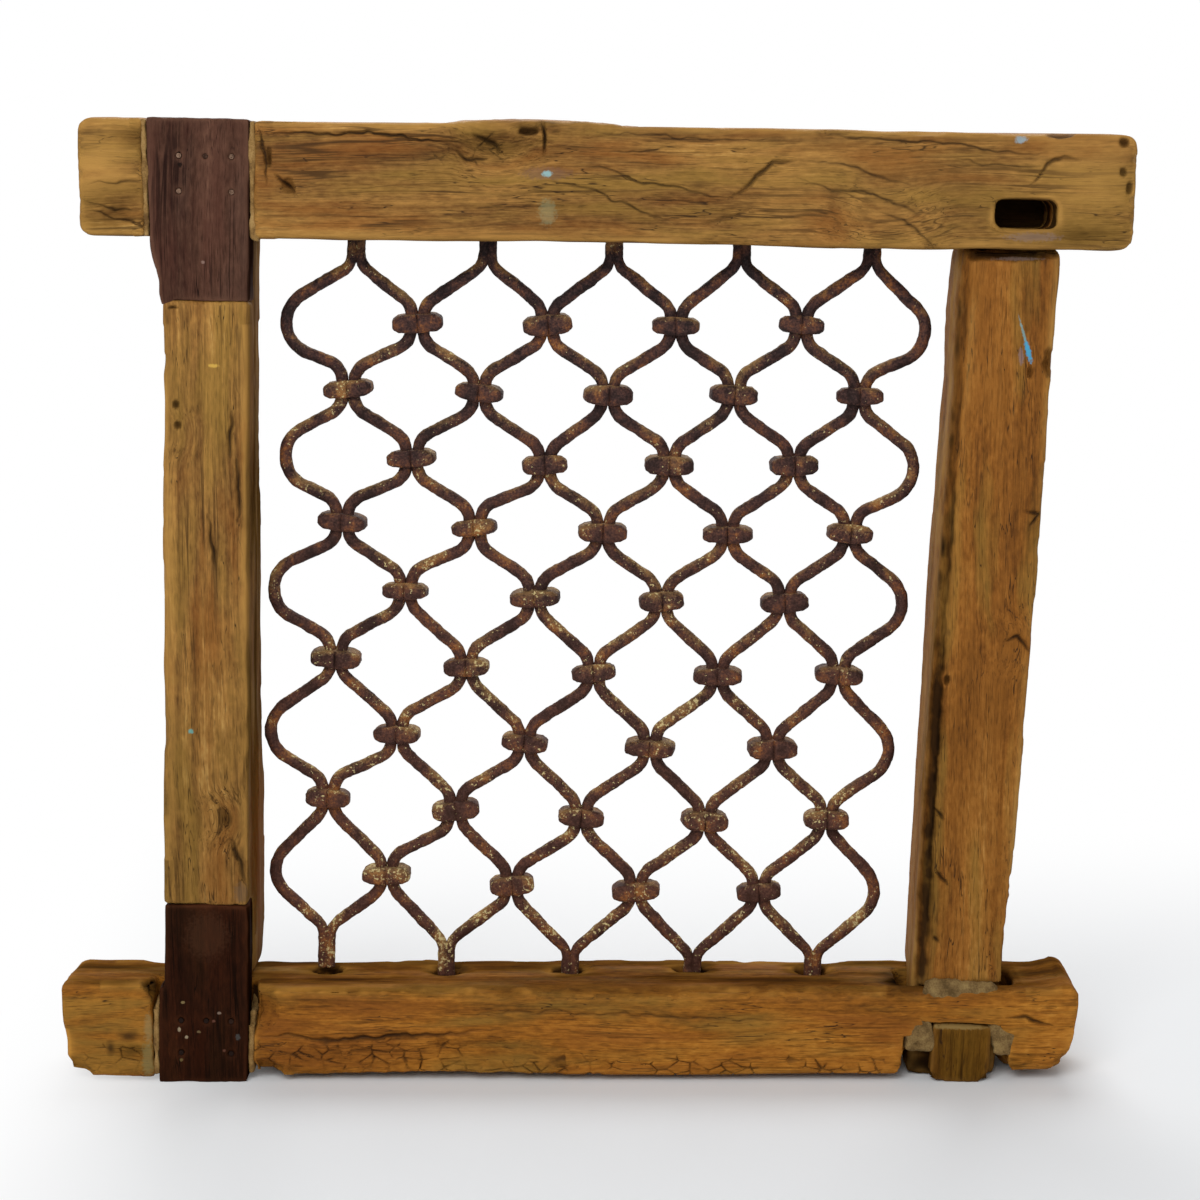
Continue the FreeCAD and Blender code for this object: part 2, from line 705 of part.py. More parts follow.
# Right stile: a slotted tenon at the head and a through tenon of full width at the foot
right_side = size.right_stile_width / 2
stile_front = FRONT + size.right_stile_recess
right_corners = (
    (-right_side + size.wane_width, stile_front),
    (right_side, stile_front),
    (right_side, -FRONT),
    (-right_side, -FRONT),
    (-right_side, stile_front + size.wane_depth),
)
right_blank = stile_blank("right_stile", RIGHT, RIGHT_FLOOR, right_corners)
right_section = (size.right_stile_width, size.right_tenon_setback, size.right_tenon_thickness)
right_start = RIGHT_LINTEL - OVERSHOOT
right_height = size.right_tenon_height + OVERSHOOT
right_head = tenon("right_head", RIGHT, right_start, right_section, right_height, ZERO)
right_head_mortise = tenon(
    "right_head_mortise", RIGHT, right_start, right_section, right_height, size.joint_clearance
)
right_foot_section = (
    size.right_stile_width,
    size.cheek_thickness + size.joint_clearance,
    size.foot_tenon_thickness,
)
right_foot = tenon("right_foot", RIGHT, RIGHT_FLOOR - OVERSHOOT, right_foot_section, foot_height, ZERO)
stile_at_slot = LINTEL.inverse().multiply(RIGHT).multVec(Vector(0, 0, RIGHT_LINTEL)).x
slot_left = stile_at_slot + size.key_slot_offset - size.key_slot_width / 2
key_slot = box(
    "key_slot",
    LINTEL,
    (slot_left, zone_front, size.key_slot_rise),
    size.key_slot_width,
    size.key_slot_depth + OVERSHOOT,
    size.key_slot_height,
)
right_stile = cut(
    "right_stile",
    right_blank,
    [
        boolean("Part::Cut", "right_head_waste", lintel_zone, right_head),
        boolean("Part::Cut", "right_foot_waste", sill_zone, right_foot),
        key_slot,
        ground,
    ],
)

# Broken mortise of the sill, and the block that fills its front under the bridge
mortise_left = -right_side - size.mortise_left_gap
mortise_width = size.right_stile_width + size.mortise_left_gap + size.mortise_right_gap
block_side = size.foot_block_width / 2
bridge_underside = RIGHT_SILL - size.bridge_height
right_mortise = box(
    "right_mortise",
    RIGHT,
    (mortise_left, FRONT + size.cheek_thickness, RIGHT_FLOOR - OVERSHOOT),
    mortise_width,
    size.foot_tenon_thickness + 2 * size.joint_clearance,
    foot_height,
)
broken_front = box(
    "broken_front",
    RIGHT,
    (mortise_left, zone_front, bridge_underside - below),
    mortise_width,
    size.cheek_thickness + OVERSHOOT,
    below,
)
block_blank = box(
    "foot_block_blank",
    RIGHT,
    (-block_side, FRONT, bridge_underside - below),
    size.foot_block_width,
    size.cheek_thickness,
    below - size.joint_clearance,
)
foot_block = boolean("Part::Cut", "foot_block", block_blank, ground)

# Rails
bottom_blank = rail_blank(
    "bottom_rail",
    SILL,
    size.bottom_rail_length,
    -size.bottom_rail_height,
    ZERO,
    size.bottom_rail_left_radius,
    size.bottom_rail_right_radius,
)
bottom_sockets = sockets(ROWS, "bottom_socket")
bottom_rail = cut(
    "bottom_rail",
    bottom_blank,
    [left_foot_mortise, lower_notch, right_mortise, broken_front, *bottom_sockets, *lower_holes],
)
top_blank = rail_blank(
    "top_rail",
    LINTEL,
    size.top_rail_length,
    ZERO,
    size.top_rail_height,
    size.top_rail_end_radius,
    size.top_rail_end_radius,
)
top_sockets = sockets(0, "top_socket")
top_rail = cut(
    "top_rail",
    top_blank,
    [left_head_mortise, upper_notch, right_head_mortise, key_slot, *top_sockets, *upper_holes],
)

# Putty beside the splices, from the notch's floor to just behind the front
strips = []
for name, axis_height, outline, frame, low, rail_height in (
    ("upper", LEFT_LINTEL, upper_splice_outline, LINTEL, ZERO, size.top_rail_height),
    ("lower", LEFT_SILL, lower_splice_outline, SILL, -size.bottom_rail_height, size.bottom_rail_height),
):
    filled = lap(f"{name}_filling", axis_height, outline(size.lap_gap), size.putty_setback)
    inside = lap(f"{name}_inside", axis_height, outline(ZERO), size.putty_setback)
    beside = boolean("Part::Cut", f"{name}_beside", filled, inside)
    rail_space = box(f"{name}_rail_space", frame, (zone_left, zone_front, low), wide, deep, rail_height)
    strips.append(boolean("Part::Common", f"{name}_putty", beside, rail_space))
left_putty = compound("left_joint_putty", strips)

# Putty at the right stile's foot: a bead on the bridge and a lump at each side of the block
putty_front = FRONT + size.putty_setback
bead_blank = box(
    "bead_blank",
    RIGHT,
    (-block_side, putty_front, RIGHT_SILL - size.bead_height),
    size.foot_block_width,
    size.right_stile_recess - size.putty_setback,
    2 * size.bead_height,
)
bead = boolean("Part::Cut", "putty_bead", bead_blank, sill_zone)
lumps = []
for name, lump_left, gap in (
    ("left", mortise_left, size.mortise_left_gap),
    ("right", block_side, size.mortise_right_gap),
):
    corner = (lump_left, putty_front, bridge_underside - size.lump_height)
    lump_width = right_side + gap - block_side
    lump_depth = size.cheek_thickness - size.putty_setback
    lumps.append(box(f"{name}_lump", RIGHT, corner, lump_width, lump_depth, size.lump_height))
right_putty = compound("right_joint_putty", [bead, *lumps])

# Grille
bars = [grille_bar(number) for number in range(1, 2 * COLUMNS + 1)]
pattern_collar = collar()
collar_rows = [collar_row(row, pattern_collar) for row in range(1, ROWS)]

SUBPARTS = [
    bottom_rail,
    top_rail,
    left_stile,
    right_stile,
    upper_splice,
    lower_splice,
    foot_block,
    upper_nails,
    lower_nails,
    left_putty,
    right_putty,
    *bars,
    *collar_rows,
]


def check_and_write():
    """Stop on any failed feature or bad solid, then write one STEP file for each sub-part."""
    doc.recompute()
    for feature in doc.Objects:
        if "Invalid" in feature.State or "Error" in feature.State:
            raise RuntimeError(f"{feature.Label} failed: {feature.State}")
    for piece in SUBPARTS:
        if piece.Shape.isNull() or not piece.Shape.isValid() or not piece.Shape.Solids:
            raise RuntimeError(f"{piece.Label} is not a sound solid")
    section = math.pi * float(size.bar_diameter / 2) ** 2
    for bar in bars:
        run = section * bar.Spine[0].Shape.Length
        if abs(bar.Shape.Volume / run - 1) > TOUCH:
            raise RuntimeError(f"{bar.Label} is not its section times its length")
    os.makedirs("parts", exist_ok=True)
    for piece in SUBPARTS:
        piece.Shape.exportStep(f"parts/{piece.Label}.step")
        print(f"{piece.Label}: {len(piece.Shape.Solids)} solids, {piece.Shape.Volume / 1000:.1f} cm3")


check_and_write()
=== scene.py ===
"""Looks of the jali window: weathered timbers, patched corners, a rusted grille and a plain studio.

Sizes are in millimetres unless a name says otherwise. Meshes are in metres, in the window's own frame:
+X runs to the right along the sill, +Y to the back and +Z up, with the floor at zero.
"""
import itertools
import logging
import math
from dataclasses import dataclass, field
from enum import Enum, IntEnum
from typing import Any, NamedTuple, Sequence

import bmesh
import bpy
import numpy as np
from mathutils import Matrix, Vector


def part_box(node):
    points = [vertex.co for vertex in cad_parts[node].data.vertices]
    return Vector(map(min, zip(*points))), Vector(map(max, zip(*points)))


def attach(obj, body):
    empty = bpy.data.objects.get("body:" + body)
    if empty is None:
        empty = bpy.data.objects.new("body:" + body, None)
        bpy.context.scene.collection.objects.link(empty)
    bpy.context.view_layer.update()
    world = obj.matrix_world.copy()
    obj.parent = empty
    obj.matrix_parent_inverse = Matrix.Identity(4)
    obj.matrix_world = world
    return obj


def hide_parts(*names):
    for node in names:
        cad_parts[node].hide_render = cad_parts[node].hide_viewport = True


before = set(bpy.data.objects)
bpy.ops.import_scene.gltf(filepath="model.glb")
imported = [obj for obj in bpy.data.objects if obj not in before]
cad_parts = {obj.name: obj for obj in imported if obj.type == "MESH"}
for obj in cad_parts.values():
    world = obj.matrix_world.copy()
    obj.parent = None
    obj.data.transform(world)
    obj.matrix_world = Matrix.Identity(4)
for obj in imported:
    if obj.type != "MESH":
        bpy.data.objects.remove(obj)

log = logging.getLogger("jali_window")

MM = 0.001
# CAD points that lie closer than this, in metres, are one
WELD = 0.002 * MM
# The mesh is finer this far round a crack
FINE_RIM = 0.8
BODY = "root"
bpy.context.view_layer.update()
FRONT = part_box("bottom_rail")[0].y / MM

Tree, Node = bpy.types.NodeTree, bpy.types.Node
Mesh, Material, Object = bpy.types.Mesh, bpy.types.Material, bpy.types.Object
# What the inputs of a tree give, by their names
Given = bpy.types.bpy_prop_collection
# Point in space, and point across and up
Spot = tuple[float, float, float]
Place = tuple[float, float]


def linear(code: str) -> tuple[float, float, float, float]:
    """Turn an sRGB hex colour into linear light.

    Args:
        code: Colour such as "#A9783F".

    Returns:
        Red, green, blue and a full alpha.
    """
    parts = [int(code[start:start + 2], 16) / 255 for start in (1, 3, 5)]
    return (*[part / 12.92 if part <= 0.04045 else ((part + 0.055) / 1.055) ** 2.4 for part in parts], 1.0)


def evenly(tones: Sequence[str]) -> list[tuple[float, str]]:
    """Spread colours evenly along a ramp."""
    return [(step / (len(tones) - 1), code) for step, code in enumerate(tones)]


def plug(tree: Tree, socket: bpy.types.NodeSocket, value: Any) -> None:
    """Give an input its value or its link.

    Args:
        tree: Tree that the input is in.
        socket: The input.
        value: Plain value, a socket, or a node whose first open output is linked.
    """
    if isinstance(value, Node):
        value = next(output for output in value.outputs if output.enabled)
    if isinstance(value, bpy.types.NodeSocket):
        tree.links.new(value, socket)
    else:
        socket.default_value = value


def add(
    tree: Tree,
    kind: str,
    inputs: dict[str, Any] | Sequence[Any] = (),
    stops: Sequence[tuple[float, str]] = (),
    **settings: Any,
) -> Node:
    """Add a node with its settings, values and links.

    Args:
        tree: Shader or geometry tree.
        kind: Type name of the node.
        inputs: Value, socket or node for each open input, by its name or in order.
        stops: Places and hex colours of a colour ramp.
        **settings: Properties of the node.

    Returns:
        The new node.
    """
    node = tree.nodes.new(kind)
    for name, value in settings.items():
        setattr(node, name, value)
    sockets = [socket for socket in node.inputs if socket.enabled]
    if isinstance(inputs, dict):
        sockets = [next(socket for socket in sockets if socket.name == name) for name in inputs]
        inputs = tuple(inputs.values())
    for socket, value in zip(sockets, inputs):
        plug(tree, socket, value)
    if stops:
        elements = node.color_ramp.elements
        while len(elements) < len(stops):
            elements.new(1.0)
        for element, (place, code) in zip(elements, stops):
            element.position = place
            element.color = linear(code)
    return node


def hashed(cells: np.ndarray, seed: int) -> np.ndarray:
    """Give every whole-numbered cell its own number from 0 to 1.

    Args:
        cells: Cells of space, three whole numbers each.
        seed: Picks another set of numbers.

    Returns:
        One number for each cell.
    """
    mixed = cells.astype(np.int64) @ np.array((374761393, 668265263, 2147483647)) + seed * 1274126177
    for shift, factor in ((13, 1103515245), (16, 1664525)):
        mixed = ((mixed ^ (mixed >> shift)) * factor) & 0xFFFFFFFF
    return ((mixed ^ (mixed >> 15)) & 0xFFFFFF) / 0xFFFFFF


def ripple(points: np.ndarray, cell: Spot, seed: int, octaves: int = 1) -> np.ndarray:
    """Smooth random field from -1 to 1.

    Args:
        points: Points in millimetres.
        cell: Size of one wave along each axis.
        seed: Picks another field.
        octaves: How many finer fields are added.

    Returns:
        One number for each point.
    """
    total = np.zeros(len(points))
    for octave in range(octaves):
        grid = points / (np.array(cell) / 2 ** octave)
        low = np.floor(grid)
        part = grid - low
        part = part * part * (3 - 2 * part)
        for corner in itertools.product((0, 1), repeat=3):
            share = np.prod(np.where(corner, part, 1 - part), axis=1)
            total += share * (2 * hashed(low + np.array(corner), seed + octave) - 1) / 2 ** octave
    return total


def linked(name: str, data: bpy.types.ID) -> Object:
    """Put a mesh, a lamp or a camera in the scene.

    Args:
        name: Name of its object.
        data: The mesh, lamp or camera.

    Returns:
        The object.
    """
    piece = bpy.data.objects.new(name, data)
    bpy.context.scene.collection.objects.link(piece)
    return piece


def poured(shape: bmesh.types.BMesh, name: str) -> Mesh:
    """Turn a working shape into a mesh.

    Args:
        shape: Shape, which is freed.
        name: Name of the mesh.

    Returns:
        The mesh.
    """
    mesh = bpy.data.meshes.new(name)
    shape.to_mesh(mesh)
    shape.free()
    return mesh


def welded(node: str) -> bmesh.types.BMesh:
    """Copy a CAD solid with its loose triangles joined.

    Args:
        node: CAD node.

    Returns:
        Working copy of its shape.
    """
    shape = bmesh.new()
    shape.from_mesh(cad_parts[node].data)
    bmesh.ops.remove_doubles(shape, verts=shape.verts, dist=WELD)
    return shape


def settled(maker: Object) -> Mesh:
    """Turn an object with modifiers into a plain mesh and drop the object.

    Args:
        maker: Object whose modifiers make the shape.

    Returns:
        The finished mesh.
    """
    graph = bpy.context.evaluated_depsgraph_get()
    mesh = bpy.data.meshes.new_from_object(maker.evaluated_get(graph))
    bpy.data.objects.remove(maker)
    return mesh


def grown(base: Mesh, tree: Tree, values: dict[str, Any]) -> Mesh:
    """Run a geometry tree on a mesh.

    Args:
        base: Mesh that the tree starts from.
        tree: Geometry tree with named inputs.
        values: A value for each named input.

    Returns:
        The finished mesh.
    """
    maker = linked("maker", base)
    modifier = maker.modifiers.new("tree", "NODES")
    modifier.node_group = tree
    for socket in tree.interface.items_tree:
        if socket.in_out == "INPUT" and socket.name in values:
            modifier[socket.identifier] = values[socket.name]
    return settled(maker)


def even_mesh(node: str, size: float) -> Mesh:
    """Copy a CAD solid into a mesh of even faces.

    Args:
        node: CAD node.
        size: Size of a face.

    Returns:
        The mesh.
    """
    maker = linked("maker", poured(welded(node), node))
    voxels = maker.modifiers.new("voxels", "REMESH")
    voxels.mode = "VOXEL"
    voxels.voxel_size = size * MM
    return settled(maker)


def new_tree(name: str, inputs: dict[str, str]) -> tuple[Tree, Given]:
    """Start a geometry tree with named inputs.

    Args:
        name: Name of the tree.
        inputs: Kind of each input after the geometry, such as Float.

    Returns:
        The tree, and what its inputs give by their names.
    """
    tree = bpy.data.node_groups.new(name, "GeometryNodeTree")
    for label, kind in {"Geometry": "Geometry", **inputs}.items():
        tree.interface.new_socket(label, in_out="INPUT", socket_type=f"NodeSocket{kind}")
    tree.interface.new_socket("Geometry", in_out="OUTPUT", socket_type="NodeSocketGeometry")
    return tree, add(tree, "NodeGroupInput").outputs


def end_tree(tree: Tree, shape: Node, given: Given) -> None:
    """Close a geometry tree with real faces in their iron.

    Args:
        tree: Geometry tree.
        shape: Node that gives the shape.
        given: Inputs of the tree, with the iron.
    """
    real = add(tree, "GeometryNodeRealizeInstances", (shape,))
    dressed = add(tree, "GeometryNodeSetMaterial", {"Geometry": real, "Material": given["Iron"]})
    add(tree, "NodeGroupOutput", (dressed,))


def new_material(name: str) -> tuple[Material, Node]:
    """Start a material.

    Args:
        name: Name of the material.

    Returns:
        The material, and a node that gives the point in millimetres.
    """
    material = bpy.data.materials.new(name)
    material.use_nodes = True
    tree = material.node_tree
    place = add(tree, "ShaderNodeTexCoord").outputs["Object"]
    return material, add(tree, "ShaderNodeVectorMath", (place, 1 / MM), operation="SCALE")


def dress(material: Material, looks: dict[str, Any]) -> Material:
    """Set what a material's shader shows.

    Args:
        material: The material.
        looks: Value, socket or node for inputs of the shader, by their names.

    Returns:
        The same material.
    """
    tree = material.node_tree
    for name, value in looks.items():
        plug(tree, tree.nodes["Principled BSDF"].inputs[name], value)
    return material


def finish_piece(
    name: str, mesh: Mesh, node: str, finish: Material | None = None, sharp: float = 180.0
) -> Object:
    """Seat a finished mesh in the frame in place of its CAD node.

    Args:
        name: Name of the piece.
        mesh: Its mesh.
        node: CAD node that it stands for.
        finish: Its material, where the mesh has none yet.
        sharp: Edges that turn further than this stay crisp, in degrees.

    Returns:
        The piece.
    """
    if finish:
        mesh.materials.clear()
        mesh.materials.append(finish)
    mesh.name = name
    mesh.shade_smooth()
    mesh.set_sharp_from_angle(angle=math.radians(sharp))
    piece = linked(name, mesh)
    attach(piece, BODY)
    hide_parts(node)
    log.info("%s: %d faces in place of %s", name, len(mesh.polygons), node)
    return piece


class Draw(IntEnum):
    """Seeds of the random fields. Those of a timber's faces are added to its own seed."""

    UNEVEN = 10
    RUBBED = 20
    SWELL = 30
    ADZE = 40
    FIBRES = 50
    CHIPS = 60
    CRACK_ACROSS = 61
    CRACK_UP = 62
    SMUDGES = 70
    DENT_RIM = 71
    SCALE_ACROSS = 81
    SCALE_DEEP = 82
    SCALE_UP = 83
    CRAZING_RIM = 84
    CRAZING_GAPS = 85
    STAIN_RIM = 91


class Grain(Enum):
    """Way that a timber's fibres run, as the turn about Y that brings them along X."""

    ALONG_X = 0.0
    ALONG_Z = math.pi / 2

    def cell(self, long: float, wide: float) -> Spot:
        """Size of a wave that is long with the fibres and wide across them."""
        return (long, wide, wide) if self is Grain.ALONG_X else (wide, wide, long)


@dataclass(frozen=True)
class Region:
    """Region of a surface.

    Attributes:
        at: Its middle.
        radius: Half its size along each axis.
    """

    at: Spot
    radius: Spot

    def reach(self, points: np.ndarray) -> np.ndarray:
        """How far points lie from the middle, with 1 at the rim."""
        return np.linalg.norm((points - np.array(self.at)) / np.array(self.radius), axis=1)


@dataclass(frozen=True)
class Fleck(Region):
    """Spot of old paint or filler on a surface.

    Attributes:
        colour: sRGB hex colour.
        cover: How much of the wood it hides.
        lean: How far its top leans to the left, in degrees.
    """

    colour: str
    cover: float = 0.9
    lean: float = 0.0


@dataclass(frozen=True)
class Knot:
    """Knot that the grain flows round.

    Attributes:
        at: Middle of the knot.
        radius: How far it pushes the grain aside.
        push: How far it moves the grain at its middle.
    """

    at: Spot
    radius: float
    push: float


@dataclass(frozen=True)
class AgedTimber:
    """Old hardwood such as teak, adzed and then worn and waxed by hands.

    The eye sees streaky honey and brown bands that follow the fibres, arches where the cut crosses the
    rings, dark pores and drying checks, dirt in the hollows, painted shade on faces that point away from
    the lamps, and paler wood along worn arrises.

    Attributes:
        name: Name of the material.
        grain: Way of the fibres.
        tones: Hex colours from the darkest band to the lightest.
        worn: Colour of rubbed arrises.
        grime_and_shade: Colour of dirt in hollows and of painted shade on darkened faces.
        black: Colour deep in a crack.
        pith: How far the tree's middle lies from the timber's own, across the fibres.
        slope: Drift of the rings along the fibres, which draws the arches.
        ring: Spacing of the bands.
        sway: How far the fibres wander.
        contrast: Share of the bands in the colour.
        lines: How strongly dark lines show along the fibres.
        gloss: Roughness of the wax.
        shine: How strongly the wax reflects.
        tints: Redder and more olive colours that lie over the bands in clouds.
        flecks: Spots of paint.
        knots: Knots.
    """

    name: str
    grain: Grain
    tones: tuple[str, str, str, str, str]
    worn: str = "#B08443"
    grime_and_shade: str = "#2B1C0F"
    black: str = "#0E0805"
    pith: tuple[float, float] = (40.0, 640.0)
    slope: float = 0.03
    ring: float = 5.5
    sway: float = 14.0
    contrast: float = 1.0
    lines: float = 0.85
    gloss: float = 0.58
    shine: float = 0.08
    tints: tuple[str, str] = ("#7D4719", "#86682C")
    flecks: Sequence[Fleck] = ()
    knots: Sequence[Knot] = ()

    def material(self) -> Material:
        """Build the shader.

        Returns:
            The material.
        """
        material, mm = new_material(self.name)
        tree = material.node_tree
        along = add(tree, "ShaderNodeMapping", {"Vector": mm, "Rotation": (0, self.grain.value, 0)})
        flow = self.flow(tree, mm, along)
        # Real pores are finer than this, and are drawn as coarse as they need to show
        pores = self.waves(tree, flow, (13, 0.8, 0.8), 1.0)
        bands = self.waves(tree, self.rings(tree, flow), (1200, self.ring, 1), 2.0)
        streaks = self.waves(tree, flow, (170, 1.7, 1.7), 3.0)
        clouds = self.waves(tree, along, (190, 46, 46), 3.0)
        mottle = self.waves(tree, flow, (8, 2.8, 2.8), 3.0)
        tone: Any = 0.5
        shares = ((bands, self.contrast), (streaks, 0.8 * self.contrast), (clouds, 1.2), (mottle, 0.8))
        for waves, share in shares:
            around = add(tree, "ShaderNodeMath", (waves, 0.5), operation="SUBTRACT")
            tone = add(tree, "ShaderNodeMath", (around, share, tone), operation="MULTIPLY_ADD")
        warmth = self.waves(tree, flow, (130, 22, 22), 2.0)
        spans = ((warmth, 0.5, 0.66), (warmth, 0.5, 0.34), (pores, 0.43, 0.3))
        redder, greener, porous = (
            add(tree, "ShaderNodeMapRange",
                {"Value": waves, "From Min": least, "From Max": full, "To Max": 0.5})
            for waves, least, full in spans
        )
        lines = self.hairlines(tree, flow, along, (280, 7, 7), 0.04, (110, 26, 26), self.lines)
        checks = self.hairlines(tree, flow, along, (70, 4.5, 4.5), 0.014, (50, 14, 14), 0.9)
        worn, grime_and_shade, crack = (
            add(tree, "ShaderNodeAttribute", attribute_name=name).outputs["Fac"]
            for name in ("worn", "grime_and_shade", "crack")
        )
        colour = add(tree, "ShaderNodeValToRGB", {"Fac": tone}, stops=evenly(self.tones))
        # Dirt and the painted shade of darkened faces both come in through one layer and one colour.
        for mask, code in (
            (redder, self.tints[0]), (greener, self.tints[1]), (porous, self.tones[0]),
            (lines, self.tones[0]), (checks, self.grime_and_shade),
            (worn, self.worn), (grime_and_shade, self.grime_and_shade), (crack, self.black),
            *((self.fleck_mask(tree, mm, fleck), fleck.colour) for fleck in self.flecks),
        ):
            colour = add(tree, "ShaderNodeMix", (mask, colour, linear(code)), data_type="RGBA")
        relief = add(tree, "ShaderNodeMath", (streaks, 0.8, pores), operation="MULTIPLY_ADD")
        cut = add(tree, "ShaderNodeMath", (checks, -0.8, relief), operation="MULTIPLY_ADD")
        waxed = {"From Min": 0.3, "From Max": 0.7, "To Min": self.gloss + 0.16, "To Max": self.gloss}
        rough = add(tree, "ShaderNodeMapRange", {"Value": streaks, **waxed})
        matt = add(tree, "ShaderNodeMath", (grime_and_shade, 0.35, rough), operation="MULTIPLY_ADD", use_clamp=True)
        shine = {"Value": grime_and_shade, "From Max": 0.6, "To Min": self.shine, "To Max": 0.0}
        return dress(material, {
            "Base Color": colour,
            "Roughness": matt,
            "Specular IOR Level": add(tree, "ShaderNodeMapRange", shine),
            "Normal": add(tree, "ShaderNodeBump", {"Height": cut, "Strength": 0.5, "Distance": 0.4 * MM}),
        })

    def waves(self, tree: Tree, place: Node, cell: Spot, detail: float) -> Node:
        """Uneven pattern whose waves have a size in millimetres, long first.

        Args:
            tree: Shader tree.
            place: Point in millimetres with the fibres along X.
            cell: Size of a wave.
            detail: Finer waves that are added.

        Returns:
            Node that gives the pattern.
        """
        fine = tuple(1 / side for side in cell)
        sized = add(tree, "ShaderNodeVectorMath", (place, fine), operation="MULTIPLY")
        values = {"Vector": sized, "Scale": 1.0, "Detail": detail, "Roughness": 0.6}
        return add(tree, "ShaderNodeTexNoise", values)

    def flow(self, tree: Tree, mm: Node, along: Node) -> Node:
        """Point that wanders with the fibres in waves as long as two hands, and that knots push aside.

        Args:
            tree: Shader tree.
            mm: Point in millimetres.
            along: The same point with the fibres along X.

        Returns:
            Node that gives the moved point.
        """
        waves = self.waves(tree, along, (230, 80, 80), 1.0).outputs["Color"]
        off = add(tree, "ShaderNodeVectorMath", (waves, (0.5, 0.5, 0.5)), operation="SUBTRACT")
        sway = (0, self.sway, self.sway)
        bent = add(tree, "ShaderNodeVectorMath", (off, sway, along), operation="MULTIPLY_ADD")
        push: Any = 0.0
        for knot in self.knots:
            gap = add(tree, "ShaderNodeVectorMath", (mm, knot.at), operation="DISTANCE")
            ends = {"Value": gap, "From Min": knot.radius, "From Max": 0.0}
            near = add(tree, "ShaderNodeMapRange", ends, interpolation_type="SMOOTHERSTEP")
            push = add(tree, "ShaderNodeMath", (near, knot.push, push), operation="MULTIPLY_ADD")
        aside = add(tree, "ShaderNodeCombineXYZ", {"Y": push, "Z": push})
        return add(tree, "ShaderNodeVectorMath", (bent, aside), operation="ADD")

    def rings(self, tree: Tree, flow: Node) -> Node:
        """How far along the tree and how far from its leaning middle a point lies.

        Args:
            tree: Shader tree.
            flow: Point with the fibres along X.

        Returns:
            Node that gives both, in millimetres.
        """
        along, side, up = add(tree, "ShaderNodeSeparateXYZ", (flow,)).outputs
        depth = add(tree, "ShaderNodeMath", (along, self.slope, up), operation="MULTIPLY_ADD")
        across = add(tree, "ShaderNodeCombineXYZ", {"Y": side, "Z": depth})
        reach = add(tree, "ShaderNodeVectorMath", (across, (0, *self.pith)), operation="DISTANCE")
        return add(tree, "ShaderNodeCombineXYZ", {"X": along, "Y": reach})

    def hairlines(
        self, tree: Tree, flow: Node, along: Node, cell: Spot, width: float, patch: Spot, most: float
    ) -> Node:
        """Thin lines that run with the fibres and come in patches.

        Args:
            tree: Shader tree.
            flow: Point that wanders with the fibres.
            along: Point with the fibres along X.
            cell: Length and spacing of the lines.
            width: Width of a line, as a share of the pattern that draws it.
            patch: Size of a patch.
            most: How strongly the lines show at most.

        Returns:
            Node that gives how strongly a line shows.
        """
        off = add(tree, "ShaderNodeMath", (self.waves(tree, flow, cell, 2.0), 0.5), operation="SUBTRACT")
        size = add(tree, "ShaderNodeMath", (off,), operation="ABSOLUTE")
        line = add(tree, "ShaderNodeMapRange", {"Value": size, "From Min": width, "From Max": width / 4})
        spread = self.waves(tree, along, patch, 2.0)
        there = {"Value": spread, "From Min": 0.47, "From Max": 0.62, "To Max": most}
        where = add(tree, "ShaderNodeMapRange", there)
        return add(tree, "ShaderNodeMath", (line, where), operation="MULTIPLY")

    def fleck_mask(self, tree: Tree, mm: Node, fleck: Fleck) -> Node:
        """Ragged spot about a place.

        Args:
            tree: Shader tree.
            mm: Point in millimetres.
            fleck: The spot.

        Returns:
            Node that gives how much the spot covers.
        """
        away = add(tree, "ShaderNodeVectorMath", (mm, fleck.at), operation="SUBTRACT")
        lean = {"Vector": away, "Angle": math.radians(fleck.lean)}
        turned = add(tree, "ShaderNodeVectorRotate", lean, rotation_type="Y_AXIS")
        shares = add(tree, "ShaderNodeVectorMath", (turned, fleck.radius), operation="DIVIDE")
        reach = add(tree, "ShaderNodeVectorMath", (shares,), operation="LENGTH")
        grit = add(tree, "ShaderNodeTexNoise", {"Vector": mm, "Scale": 0.55, "Detail": 3.0})
        ragged = add(tree, "ShaderNodeMath", (grit, 1.3, reach), operation="MULTIPLY_ADD")
        rim = {"Value": ragged, "From Min": 1.7, "From Max": 1.25, "To Max": fleck.cover}
        return add(tree, "ShaderNodeMapRange", rim)


